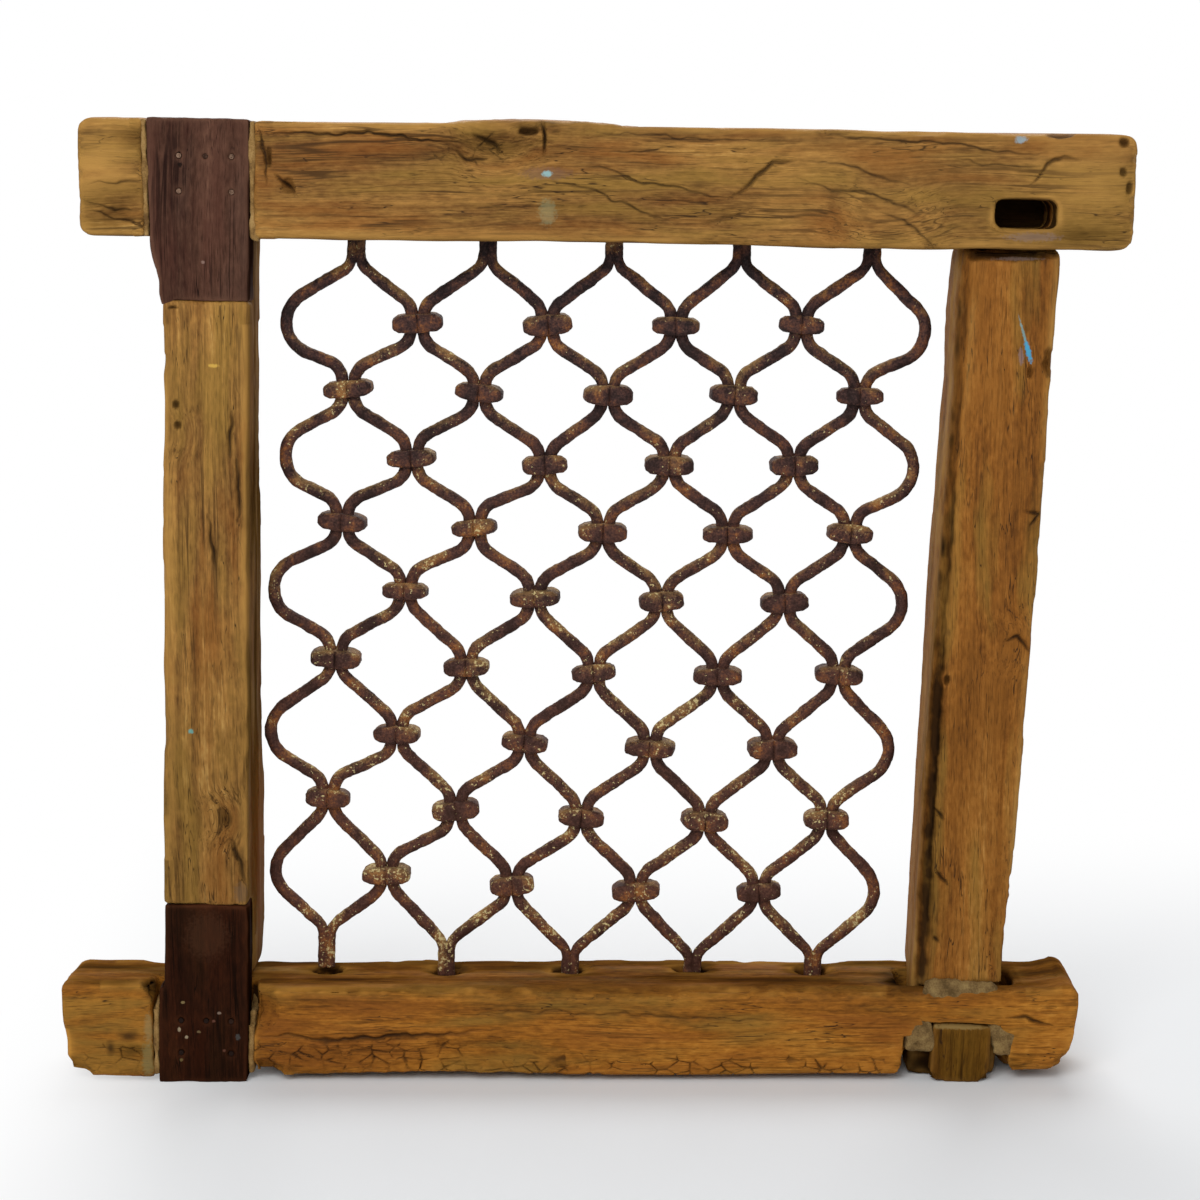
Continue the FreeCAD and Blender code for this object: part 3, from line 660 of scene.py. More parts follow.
@dataclass(frozen=True)
class RustedIron:
    """Wrought iron that has rusted through old paint.

    The eye sees matt, pitted rust: purple-brown near the top of the grille, warmer and more orange low down,
    with flecks of cream paint that have held on mostly in the lower half.

    Attributes:
        name: Name of the material.
        tones: Hex colours from the darkest rust to the brightest.
        paint: Colour of the old paint.
        warm: Colour that the rust takes on low down.
        dust: Colour of the dry rust that lies on upward faces.
        patch: Size of a patch of rust.
        grit: Size of the pits, drawn as coarse as they need to show.
        speck: Size of a fleck of paint.
        wide: Size of a region with more dust and paint.
        top: Height where the rust is darkest.
        bottom: Height where it is brightest.
    """

    name: str
    tones: tuple[str, ...] = ("#1A1010", "#2F1E1C", "#462C25", "#623B26", "#8A5528")
    paint: str = "#C2B07C"
    warm: str = "#6B3814"
    dust: str = "#8A6A3E"
    patch: float = 15.0
    grit: float = 1.6
    speck: float = 2.4
    wide: float = 30.0
    top: float = 600.0
    bottom: float = 60.0

    def material(self) -> Material:
        """Build the shader.

        Returns:
            The material.
        """
        material, mm = new_material(self.name)
        tree = material.node_tree
        height = add(tree, "ShaderNodeSeparateXYZ", (mm,)).outputs["Z"]
        ends = {"Value": height, "From Min": self.top, "From Max": self.bottom}
        low = add(tree, "ShaderNodeMapRange", ends)
        upward = add(tree, "ShaderNodeAttribute", attribute_name="upward").outputs["Fac"]
        patches, pits, specks, wide = (
            add(tree, "ShaderNodeTexNoise",
                {"Vector": mm, "Scale": 1 / cell, "Detail": 3.0, "Roughness": 0.65})
            for cell in (self.patch, self.grit, self.speck, self.wide)
        )
        rust, dust, paint = patches, wide, specks
        for waves, share in ((pits, 0.55), (low, 0.04)):
            rust = add(tree, "ShaderNodeMath", (waves, share, rust), operation="MULTIPLY_ADD")
        for waves, share in ((upward, 0.22), (pits, 0.35)):
            dust = add(tree, "ShaderNodeMath", (waves, share, dust), operation="MULTIPLY_ADD")
        for waves, share in ((wide, 0.5), (upward, 0.035), (low, 0.085)):
            paint = add(tree, "ShaderNodeMath", (waves, share, paint), operation="MULTIPLY_ADD")
        relief = add(tree, "ShaderNodeMath", (patches, 0.6, pits), operation="MULTIPLY_ADD")
        spans = ((rust, 0.62, 1.02, 1.0), (dust, 0.74, 1.0, 0.75), (paint, 0.94, 0.99, 0.9))
        even, dusty, painted = (
            add(tree, "ShaderNodeMapRange",
                {"Value": waves, "From Min": least, "From Max": full, "To Max": most})
            for waves, least, full, most in spans
        )
        warmer = add(tree, "ShaderNodeMath", (low, 0.2), operation="MULTIPLY")
        colour = add(tree, "ShaderNodeValToRGB", {"Fac": even}, stops=evenly(self.tones))
        for mask, code in ((warmer, self.warm), (dusty, self.dust), (painted, self.paint)):
            colour = add(tree, "ShaderNodeMix", (mask, colour, linear(code)), data_type="RGBA")
        pitted = {"Value": pits, "From Min": 0.3, "From Max": 0.7, "To Min": 0.92, "To Max": 0.62}
        return dress(material, {
            "Base Color": colour,
            "Roughness": add(tree, "ShaderNodeMapRange", pitted),
            "Specular IOR Level": 0.22,
            "Normal": add(tree, "ShaderNodeBump", {"Height": relief, "Strength": 0.7, "Distance": 0.5 * MM}),
        })


@dataclass(frozen=True)
class LimePutty:
    """Hand-pressed filler of lime and sawdust.

    The eye sees a dry, tan-grey, grainy paste with darker smears.

    Attributes:
        name: Name of the material.
        tones: Hex colours from the darkest smear to the palest.
        grit: Size of a grain, drawn as coarse as it needs to show.
        smear: Size of a smear.
    """

    name: str
    tones: tuple[str, str, str] = ("#523E20", "#705834", "#897145")
    grit: float = 1.1
    smear: float = 12.0

    def material(self) -> Material:
        """Build the shader.

        Returns:
            The material.
        """
        material, mm = new_material(self.name)
        tree = material.node_tree
        smears, grains = (
            add(tree, "ShaderNodeTexNoise", {"Vector": mm, "Scale": 1 / cell, "Detail": 4.0})
            for cell in (self.smear, self.grit)
        )
        tone = add(tree, "ShaderNodeMath", (grains, 0.45, smears), operation="MULTIPLY_ADD")
        even = add(tree, "ShaderNodeMath", (tone, 0.85), operation="MULTIPLY")
        stops = [(0.46 + 0.15 * step, code) for step, code in enumerate(self.tones)]
        return dress(material, {
            "Base Color": add(tree, "ShaderNodeValToRGB", {"Fac": even}, stops=stops),
            "Roughness": 0.9,
            "Specular IOR Level": 0.2,
            "Normal": add(tree, "ShaderNodeBump", {"Height": tone, "Strength": 0.6, "Distance": 0.6 * MM}),
        })


@dataclass
class Surface:
    """Points of a mesh in millimetres while they are weathered, with what shows on each.

    Attributes:
        points: Places of the points.
        normals: Directions out of the surface.
        crack: How deep in a crack each point is.
        worn: How rubbed it is.
        grime_and_shade: How much dirt and painted shade darken it.
    """

    points: np.ndarray
    normals: np.ndarray
    crack: np.ndarray
    worn: np.ndarray
    grime_and_shade: np.ndarray

    @classmethod
    def of(cls, mesh: Mesh) -> "Surface":
        """Read a mesh.

        Args:
            mesh: Mesh in metres.

        Returns:
            Its surface, clean and whole.
        """
        count = len(mesh.vertices)
        points, normals = np.empty(count * 3), np.empty(count * 3)
        mesh.vertices.foreach_get("co", points)
        mesh.vertices.foreach_get("normal", normals)
        return cls(points.reshape(-1, 3) / MM, normals.reshape(-1, 3), *np.zeros((3, count)))

    def relaxed(self, mesh: Mesh, rounds: int) -> np.ndarray:
        """Shape that the surface has when every point is drawn to its neighbours.

        Args:
            mesh: Mesh that holds the edges.
            rounds: How often each point moves.

        Returns:
            The drawn points.
        """
        ends = np.empty(len(mesh.edges) * 2, dtype=np.int64)
        mesh.edges.foreach_get("vertices", ends)
        ends = ends.reshape(-1, 2)
        here, there = np.concatenate((ends[:, 0], ends[:, 1])), np.concatenate((ends[:, 1], ends[:, 0]))
        count = len(self.points)
        degree = np.bincount(here, minlength=count)[:, None]
        drawn = self.points
        for _ in range(rounds):
            sums = [np.bincount(here, weights=drawn[there, axis], minlength=count) for axis in range(3)]
            drawn = (drawn + np.stack(sums, axis=1) / degree) / 2
        return drawn

    def sink(self, depth: np.ndarray) -> None:
        """Move points into the material."""
        self.points -= self.normals * depth[:, None]

    def write(self, mesh: Mesh) -> None:
        """Give the weathered points back, no lower than the floor, with what shows on them.

        Args:
            mesh: Mesh that the surface was read from.
        """
        self.points[:, 2] = np.maximum(self.points[:, 2], 0)
        mesh.vertices.foreach_set("co", (self.points * MM).ravel())
        for name in ("crack", "worn", "grime_and_shade"):
            layer = mesh.attributes.new(name, "FLOAT", "POINT")
            layer.data.foreach_set("value", np.clip(getattr(self, name), 0, 1).astype(np.float32))
        mesh.update()


@dataclass(frozen=True)
class Crack:
    """Crack in the front face.

    Attributes:
        path: Points across and up.
        width: Width at its middle.
        depth: Depth at its middle.
        wobble: How far it strays.
        dark: How black it shows.
    """

    path: Sequence[Place]
    width: float = 1.3
    depth: float = 2.2
    wobble: float = 1.6
    dark: float = 0.9

    def pieces(self, spots: np.ndarray) -> list[tuple[np.ndarray, np.ndarray, float]]:
        """Compare spots with each straight piece of the path.

        Args:
            spots: Places across and up.

        Returns:
            For each piece, how far along it each spot lies, from 0 to 1, how far off it, and its length.
        """
        knots = np.array(self.path, dtype=float)
        found = []
        for start, way in zip(knots, np.diff(knots, axis=0)):
            length = np.linalg.norm(way)
            share = np.clip((spots - start) @ way / length ** 2, 0, 1)
            found.append((share, np.linalg.norm(spots - start - share[:, None] * way, axis=1), length))
        return found

    def near(self, points: np.ndarray) -> np.ndarray:
        """Tell which points are close enough to need a finer mesh."""
        gaps = [gap for _, gap, _ in self.pieces(points[:, (0, 2)])]
        return np.min(gaps, axis=0) < self.width + self.wobble + FINE_RIM

    def apply(self, surface: Surface) -> None:
        """Sink the crack into a surface.

        Args:
            surface: Surface to crack.
        """
        strayed = surface.points[:, (0, 2)].copy()
        for axis, seed in enumerate((Draw.CRACK_ACROSS, Draw.CRACK_UP)):
            strayed[:, axis] += self.wobble * ripple(surface.points, (9, 9, 9), seed, octaves=2)
        pieces = self.pieces(strayed)
        whole, run = sum(length for _, _, length in pieces), 0.0
        cut = np.zeros(len(strayed))
        for share, gap, length in pieces:
            along = np.clip((run + share * length) / whole, 0.02, 0.98)
            taper = np.sqrt(np.clip(np.sin(math.pi * along), 0, 1))
            cut = np.maximum(cut, np.exp(-((gap / (self.width * (0.35 + 0.65 * taper))) ** 2)) * taper)
            run += length
        cut *= np.clip(-surface.normals[:, 1] * 2 - 0.4, 0, 1)
        surface.sink(cut * self.depth)
        surface.crack = np.maximum(surface.crack, cut * self.dark)


@dataclass(frozen=True)
class Shove(Region):
    """Region that stands to one side of where the CAD solid has it.

    Attributes:
        by: How far its middle moves.
    """

    by: Spot

    def apply(self, surface: Surface) -> None:
        """Move the region.

        Args:
            surface: Surface to move.
        """
        share = np.clip(1.6 - 1.6 * self.reach(surface.points), 0, 1)
        surface.points += (share * share * (3 - 2 * share))[:, None] * np.array(self.by)


@dataclass(frozen=True)
class Dent(Region):
    """Chip, gouge, pit or hole, or a swelling where the depth is negative.

    Attributes:
        depth: Depth at its middle.
        ragged: How uneven its rim is.
        dark: How black its bottom shows.
        dirty: How dirty it is.
        steep: Larger for a hole with steeper walls.
    """

    depth: float
    ragged: float = 0.3
    dark: float = 0.0
    dirty: float = 0.6
    steep: float = 1.0

    def apply(self, surface: Surface) -> None:
        """Press the dent into a surface.

        Args:
            surface: Surface to dent.
        """
        reach = self.reach(surface.points)
        reach += self.ragged * ripple(surface.points, (7, 7, 7), Draw.DENT_RIM, octaves=2)
        inside = np.clip((1 - reach ** 2) * self.steep, 0, 1)
        surface.sink(inside * self.depth)
        surface.crack = np.maximum(surface.crack, inside * self.dark)
        surface.grime_and_shade = np.maximum(surface.grime_and_shade, np.sqrt(inside) * self.dirty)
        surface.worn *= 1 - inside


@dataclass(frozen=True)
class Crazing(Region):
    """Net of short cracks, as on dried mud.

    Attributes:
        cell: Size of a scale between cracks.
        depth: Depth of the cracks.
        width: Width of the cracks, as a share of a scale.
    """

    cell: float = 11.0
    depth: float = 1.6
    width: float = 0.13

    def near(self, points: np.ndarray) -> np.ndarray:
        """Tell which points are close enough to need a finer mesh."""
        return self.reach(points) < 1.1

    def apply(self, surface: Surface) -> None:
        """Sink the net into a surface.

        Args:
            surface: Surface to craze.
        """
        reach = self.reach(surface.points)
        chosen = np.flatnonzero(reach < 1.3)
        points = surface.points[chosen]
        spots = points / np.array((self.cell * 1.5, 1e4, self.cell))
        base = np.floor(spots)
        seeds = (Draw.SCALE_ACROSS, Draw.SCALE_DEEP, Draw.SCALE_UP)
        gaps = []
        for step in itertools.product((-1, 0, 1), (0,), (-1, 0, 1)):
            cells = base + np.array(step)
            middles = cells + np.stack([hashed(cells, seed) for seed in seeds], axis=1)
            gaps.append(np.linalg.norm((spots - middles)[:, (0, 2)], axis=1))
        nearest = np.sort(np.stack(gaps, axis=1), axis=1)
        line = np.clip(1 - (nearest[:, 1] - nearest[:, 0]) / self.width, 0, 1)
        line *= np.clip(0.45 + 1.4 * ripple(points, (10, 10, 10), Draw.CRAZING_GAPS, octaves=2), 0, 1)
        rim = 1.15 + 0.5 * ripple(points, (16, 16, 16), Draw.CRAZING_RIM)
        line *= np.clip((rim - reach[chosen]) * 3, 0, 1)
        cut = np.zeros(len(surface.points))
        cut[chosen] = line
        surface.sink(cut * self.depth)
        surface.crack = np.maximum(surface.crack, cut * 0.85)


@dataclass(frozen=True)
class Stain(Region):
    """Dirty or rubbed patch.

    Attributes:
        amount: How strong it is.
        layer: What it adds to a surface.
    """

    amount: float = 0.6
    layer: str = "grime_and_shade"

    def apply(self, surface: Surface) -> None:
        """Soil a surface.

        Args:
            surface: Surface to soil.
        """
        reach = self.reach(surface.points)
        reach += 0.35 * ripple(surface.points, (18, 8, 8), Draw.STAIN_RIM, octaves=3)
        there = np.clip(1.2 - reach, 0, 1) * self.amount
        setattr(surface, self.layer, np.maximum(getattr(surface, self.layer), there))


Mark = Crack | Dent | Crazing | Stain | Shove


@dataclass
class Timber:
    """Squared timber or patch, weathered from its CAD solid.

    Attributes:
        node: CAD node.
        slot: Name of a material slot; not used.
        finish: Its wood.
        marks: What has happened to it.
        facing_shade_and_dirt: Directions of faces darkened by painted shade and dirt, with how much.
        tight: Boxes with unworn arrises, from corner to corner.
        voxel: Size of the mesh, which is half of it at the front and a quarter at cracks.
        wear: How far arrises are rubbed down.
        nick: Depth of the nicks along the arrises.
        swell: Slow unevenness of the faces.
        grow: How far the faces stand out over the CAD solid.
        relief: Height of the raised fibres.
        seed: Picks another unevenness.
        rounds: How often the points are drawn together to find the arrises.
        skin: Depth behind the front that has the finer mesh.
    """

    node: str
    slot: str
    finish: AgedTimber
    marks: Sequence[Mark] = ()
    facing_shade_and_dirt: Sequence[tuple[Spot, float]] = ()
    tight: Sequence[tuple[Spot, Spot]] = ()
    voxel: float = 2.4
    wear: float = 0.9
    nick: float = 4.0
    swell: float = 1.1
    grow: float = 0.0
    relief: float = 0.22
    seed: int = 1
    rounds: int = 36
    skin: float = 6.0

    def blank(self) -> Mesh:
        """Copy the CAD solid into an even mesh that is finer at the front.

        Returns:
            The mesh.
        """
        mesh = even_mesh(self.node, self.voxel)
        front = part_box(self.node)[0].y + self.skin * MM
        cracks = [mark for mark in self.marks if isinstance(mark, (Crack, Crazing))]
        for sharper in (False, True):
            finer = bmesh.new()
            finer.from_mesh(mesh)
            faces = [
                face for face in finer.faces if face.calc_center_median().y < front and face.normal.y < -0.3
            ]
            if sharper:
                middles = np.array([face.calc_center_median() for face in faces]) / MM
                close = np.zeros(len(faces), dtype=bool)
                for mark in cracks:
                    close |= mark.near(middles)
                faces = list(itertools.compress(faces, close))
            edges = list({edge for face in faces for edge in face.edges})
            bmesh.ops.subdivide_edges(finer, edges=edges, cuts=1, use_grid_fill=True)
            finer.to_mesh(mesh)
            finer.free()
        return mesh

    def drawn(
        self, points: np.ndarray, long: float, wide: float, draw: Draw, octaves: int = 2
    ) -> np.ndarray:
        """Random field of this timber, with waves that are long with the fibres and wide across them."""
        return ripple(points, self.finish.grain.cell(long, wide), self.seed + draw, octaves)

    def weather(self, mesh: Mesh) -> Surface:
        """Rub the arrises, make the faces uneven and apply the marks.

        Args:
            mesh: Even mesh of the timber.

        Returns:
            The weathered surface.
        """
        surface = Surface.of(mesh)
        pull = surface.relaxed(mesh, self.rounds) - surface.points
        for low, high in self.tight:
            inside = np.all((surface.points > low) & (surface.points < high), axis=1)
            pull[inside] *= 0.2
        proud = -(pull * surface.normals).sum(axis=1)
        uneven = 0.55 + 0.75 * self.drawn(surface.points, 34, 34, Draw.UNEVEN)
        chips = np.clip(self.drawn(surface.points, 26, 9, Draw.CHIPS) - 0.4, 0, 1)
        surface.points += pull * np.clip(self.wear * uneven, 0, 1.4)[:, None]
        surface.sink(np.clip(proud, 0, 1) * chips * self.nick)
        rubbed = self.drawn(surface.points, 45, 14, Draw.RUBBED, octaves=3)
        surface.worn = np.clip(proud * (0.75 + 0.8 * rubbed), 0, 1) * 0.75
        surface.grime_and_shade = np.clip(-proud * 1.4, 0, 0.9)
        # Painted shade, in patches, on faces that point one way: inner sides and undersides, and the sill's
        # darker top.
        patchy = 0.75 + 0.5 * self.drawn(surface.points, 70, 14, Draw.SMUDGES, octaves=3)
        for toward, amount in self.facing_shade_and_dirt:
            facing = np.clip(surface.normals @ np.array(toward), 0, 1) ** 2
            surface.grime_and_shade = np.maximum(surface.grime_and_shade, facing * amount * patchy)
        height = self.grow + self.swell * self.drawn(surface.points, 190, 55, Draw.SWELL)
        height += 0.35 * self.drawn(surface.points, 34, 13, Draw.ADZE)
        height += self.relief * self.drawn(surface.points, 60, 3.4, Draw.FIBRES, octaves=1)
        surface.sink(-height)
        for mark in self.marks:
            mark.apply(surface)
        return surface

    def build(self) -> Object:
        """Make the piece.

        Returns:
            The piece, dressed and seated.
        """
        mesh = self.blank()
        self.weather(mesh).write(mesh)
        return finish_piece(f"weathered_{self.node}", mesh, self.node, self.finish.material())


@dataclass
class Filler:
    """Putty pressed into the joints.

    Attributes:
        node: CAD node.
        finish: Its material.
        spread: How far it is smeared past its joint.
        lump: Size of its lumps.
        slump: How far its edges have run down.
        proud: How far it stands out at the front.
        marks: What has happened to it.
        voxel: Size of the mesh.
        seed: Picks another unevenness.
    """

    node: str
    finish: Material
    spread: float = 0.8
    lump: float = 1.3
    slump: int = 6
    proud: float = 0.3
    marks: Sequence[Mark] = ()
    voxel: float = 1.2
    seed: int = 5

    def build(self) -> Object:
        """Make the piece.

        Returns:
            The piece, dressed and seated.
        """
        mesh = even_mesh(self.node, self.voxel)
        surface = Surface.of(mesh)
        surface.points += (surface.relaxed(mesh, self.slump) - surface.points) * 0.8
        rough = ripple(surface.points, (10, 10, 10), self.seed, octaves=3)
        surface.sink(-self.spread - self.lump * rough)
        for mark in self.marks:
            mark.apply(surface)
        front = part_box(self.node)[0].y / MM - self.proud - 0.4 * rough
        surface.points[:, 1] = np.maximum(surface.points[:, 1], front)
        surface.write(mesh)
        return finish_piece(f"pressed_{self.node}", mesh, self.node, self.finish)


class Pass(NamedTuple):
    """Where a bar passes a row of the grille.

    Attributes:
        across: Place across.
        up: Place up.
        run: Half of the bar's straight run there.
        bend: Radius of its bends there.
    """

    across: float
    up: float
    run: float
    bend: float


@dataclass
class Lattice:
    """Rule that places the bars and collars of the grille.

    Attributes:
        columns: Pairs of bars across.
        rows: Steps from rail to rail.
        origin: Middle crossing.
        tilt: Turn of the whole grille, right side down, in degrees.
        column_pitch: Between pairs in a row.
        upper_pitch: Between rows above the middle.
        lower_pitch: Between rows below the middle.
        drift: Each row lies further left than the one above.
        bow: Bulge of the middle bars to the right.
        lead: How much further right the top row lies, and the next row by half.
        slips: How far some crossings lie off the rule, to the right and up, by row and column.
        tuck: How far the left end of the bottom row is drawn in.
        fan: Extra drop for each row and column from the middle.
        sag: How much lower the middle of the bottom row hangs.
        loop_drop: How much lower the outer loops hang at the right.
        left_drop: How much lower each left loop hangs than the row above has it.
        left_lean: Each left loop reaches less far out than the one above.
        right_belly: How much further out the right loops reach near the middle.
        bar: Diameter of a bar.
        pair_gap: Between the bars of a pair.
        tang_gap: Between the middle lines of a pair at the rails, where they are welded.
        bend: Radius of a bend beside a collar or a rail.
        loop: Radius of a free outer loop.
        straight: Half the straight run in a collar.
        top_end: Bar above the first crossing, into the top rail.
        bottom_end: Bar below the last crossing, into the sill.
        step: Spacing of points on a bar's middle line.
    """

    columns: int = 5
    rows: int = 10
    origin: Spot = (0.5, 12.5, 345.75)
    tilt: float = 1.7
    column_pitch: float = 91.0
    upper_pitch: float = 49.25
    lower_pitch: float = 53.65
    drift: float = 1.75
    bow: float = 7.5
    lead: float = 2.5
    tuck: float = 6.0
    fan: float = 0.44
    sag: float = 8.0
    loop_drop: float = 3.5
    left_drop: float = 0.95
    left_lean: float = 1.1
    right_belly: float = 3.0
    bar: float = 8.8
    pair_gap: float = -0.7
    tang_gap: float = 5.2
    bend: float = 14.5
    loop: float = 23.0
    straight: float = 5.0
    top_end: float = 26.0
    bottom_end: float = 24.0
    step: float = 1.5
    slips: dict[Place, Place] = field(default_factory=lambda: {
        (0, -1): (2, 0), (0, 1): (-1, 0), (1, 1.5): (-1, 1), (2, 1): (-1, 1), (3, -0.5): (2, -2),
        (3, -2.5): (3, 0), (5, -2.5): (-3, 0), (7, -2.5): (-3, 0), (9, -2.5): (3, 0), (10, 0): (2, 0),
        (10, 1): (2, 0),
    })

    def crossing(self, row: int, column: float) -> Place:
        """Middle of a pair of bars in the grille's own plane.

        Args:
            row: Row from 0 at the top rail down.
            column: Column from the middle.

        Returns:
            Across and up from the middle crossing.
        """
        middle = self.rows / 2
        step = row - middle
        pitch = self.upper_pitch if step < 0 else self.lower_pitch
        bulge = (1 - (step / middle) ** 2) * (1 - (column / (self.columns / 2)) ** 2)
        lift = (column / ((self.columns - 1) / 2)) ** 2 * row / self.rows
        across = self.column_pitch * column - step * self.drift + bulge * self.bow
        across += max(0, 1 - row / 2) * self.lead
        up = -pitch * step - column * step * self.fan + lift * self.sag
        if row == self.rows:
            across += ((1 - column / ((self.columns - 1) / 2)) / 2) ** 2 * self.tuck
        if column == -self.columns / 2:
            up -= self.left_drop * row
            across += step * self.left_lean
        elif column == self.columns / 2:
            up -= self.loop_drop
            across += (1 - (row / self.rows - 0.4) ** 2 * 5) * self.right_belly
        slip = self.slips.get((row, column), (0, 0))
        return across + slip[0], up + slip[1]

    def row_columns(self, row: int) -> list[float]:
        """Columns that have a pair of bars in a row."""
        count = self.columns if row % 2 == 0 else self.columns - 1
        return [number - (count - 1) / 2 for number in range(count)]

    def world(self, across: float, up: float) -> Vector:
        """Point of the grille's plane in the window's frame, in metres."""
        turn = Matrix.Rotation(math.radians(self.tilt), 3, "Y")
        return (Vector(self.origin) + turn @ Vector((across, 0, up))) * MM

    def bar_point(self, bar: int, row: int) -> Pass:
        """Find where a bar passes a row.

        Args:
            bar: Bar from 0 at the left.
            row: Row from 0 at the top rail down.

        Returns:
            Its place and its bends there.
        """
        if row % 2 == 0:
            column, side = bar // 2 - (self.columns - 1) / 2, 1 if bar % 2 else -1
        else:
            column, side = (bar + 1) // 2 - self.columns / 2, -1 if bar % 2 else 1
        across, up = self.crossing(row, column)
        if row in (0, self.rows):
            return Pass(across + side * self.tang_gap / 2, up, 0.0, self.bend)
        across += side * (self.bar + self.pair_gap) / 2
        if abs(column) == self.columns / 2:
            return Pass(across, up, 0.0, self.loop)
        return Pass(across, up, self.straight, self.bend)

    def swing(self, start: Pass, end: Pass) -> list[Place]:
        """Two opposite bends and the straight between them.

        Args:
            start: Where the bar leaves a row.
            end: Where it passes the next row down.

        Returns:
            Points along the way.
        """
        top, bottom = start.up - start.run, end.up + end.run
        side = math.copysign(1, end.across - start.across)
        drop = top - bottom
        room = min(1, 0.95 * drop / (start.bend + end.bend))
        first, last = start.bend * room, end.bend * room
        spread = abs(end.across - start.across) - first - last
        angle = math.asin((first + last) / math.hypot(spread, drop)) + math.atan2(spread, drop)
        turns = np.linspace(0, angle, max(3, round(angle * max(first, last) / self.step)))
        leaving = [
            (start.across + side * first * (1 - math.cos(turn)), top - first * math.sin(turn))
            for turn in turns
        ]
        arriving = [
            (end.across - side * last * (1 - math.cos(turn)), bottom + last * math.sin(turn))
            for turn in turns[::-1]
        ]
        return leaving + arriving

    def bar_path(self, bar: int) -> list[Vector]:
        """Middle line of a bar from socket to socket.

        Args:
            bar: Bar from 0 at the left.

        Returns:
            Points in metres.
        """
        passes = [self.bar_point(bar, row) for row in range(self.rows + 1)]
        path = [(passes[0].across, passes[0].up + self.top_end)]
        for start, end in zip(passes, passes[1:]):
            path.extend(self.swing(start, end))
        path.append((passes[-1].across, passes[-1].up - self.bottom_end))
        return [self.world(*place) for place in path]


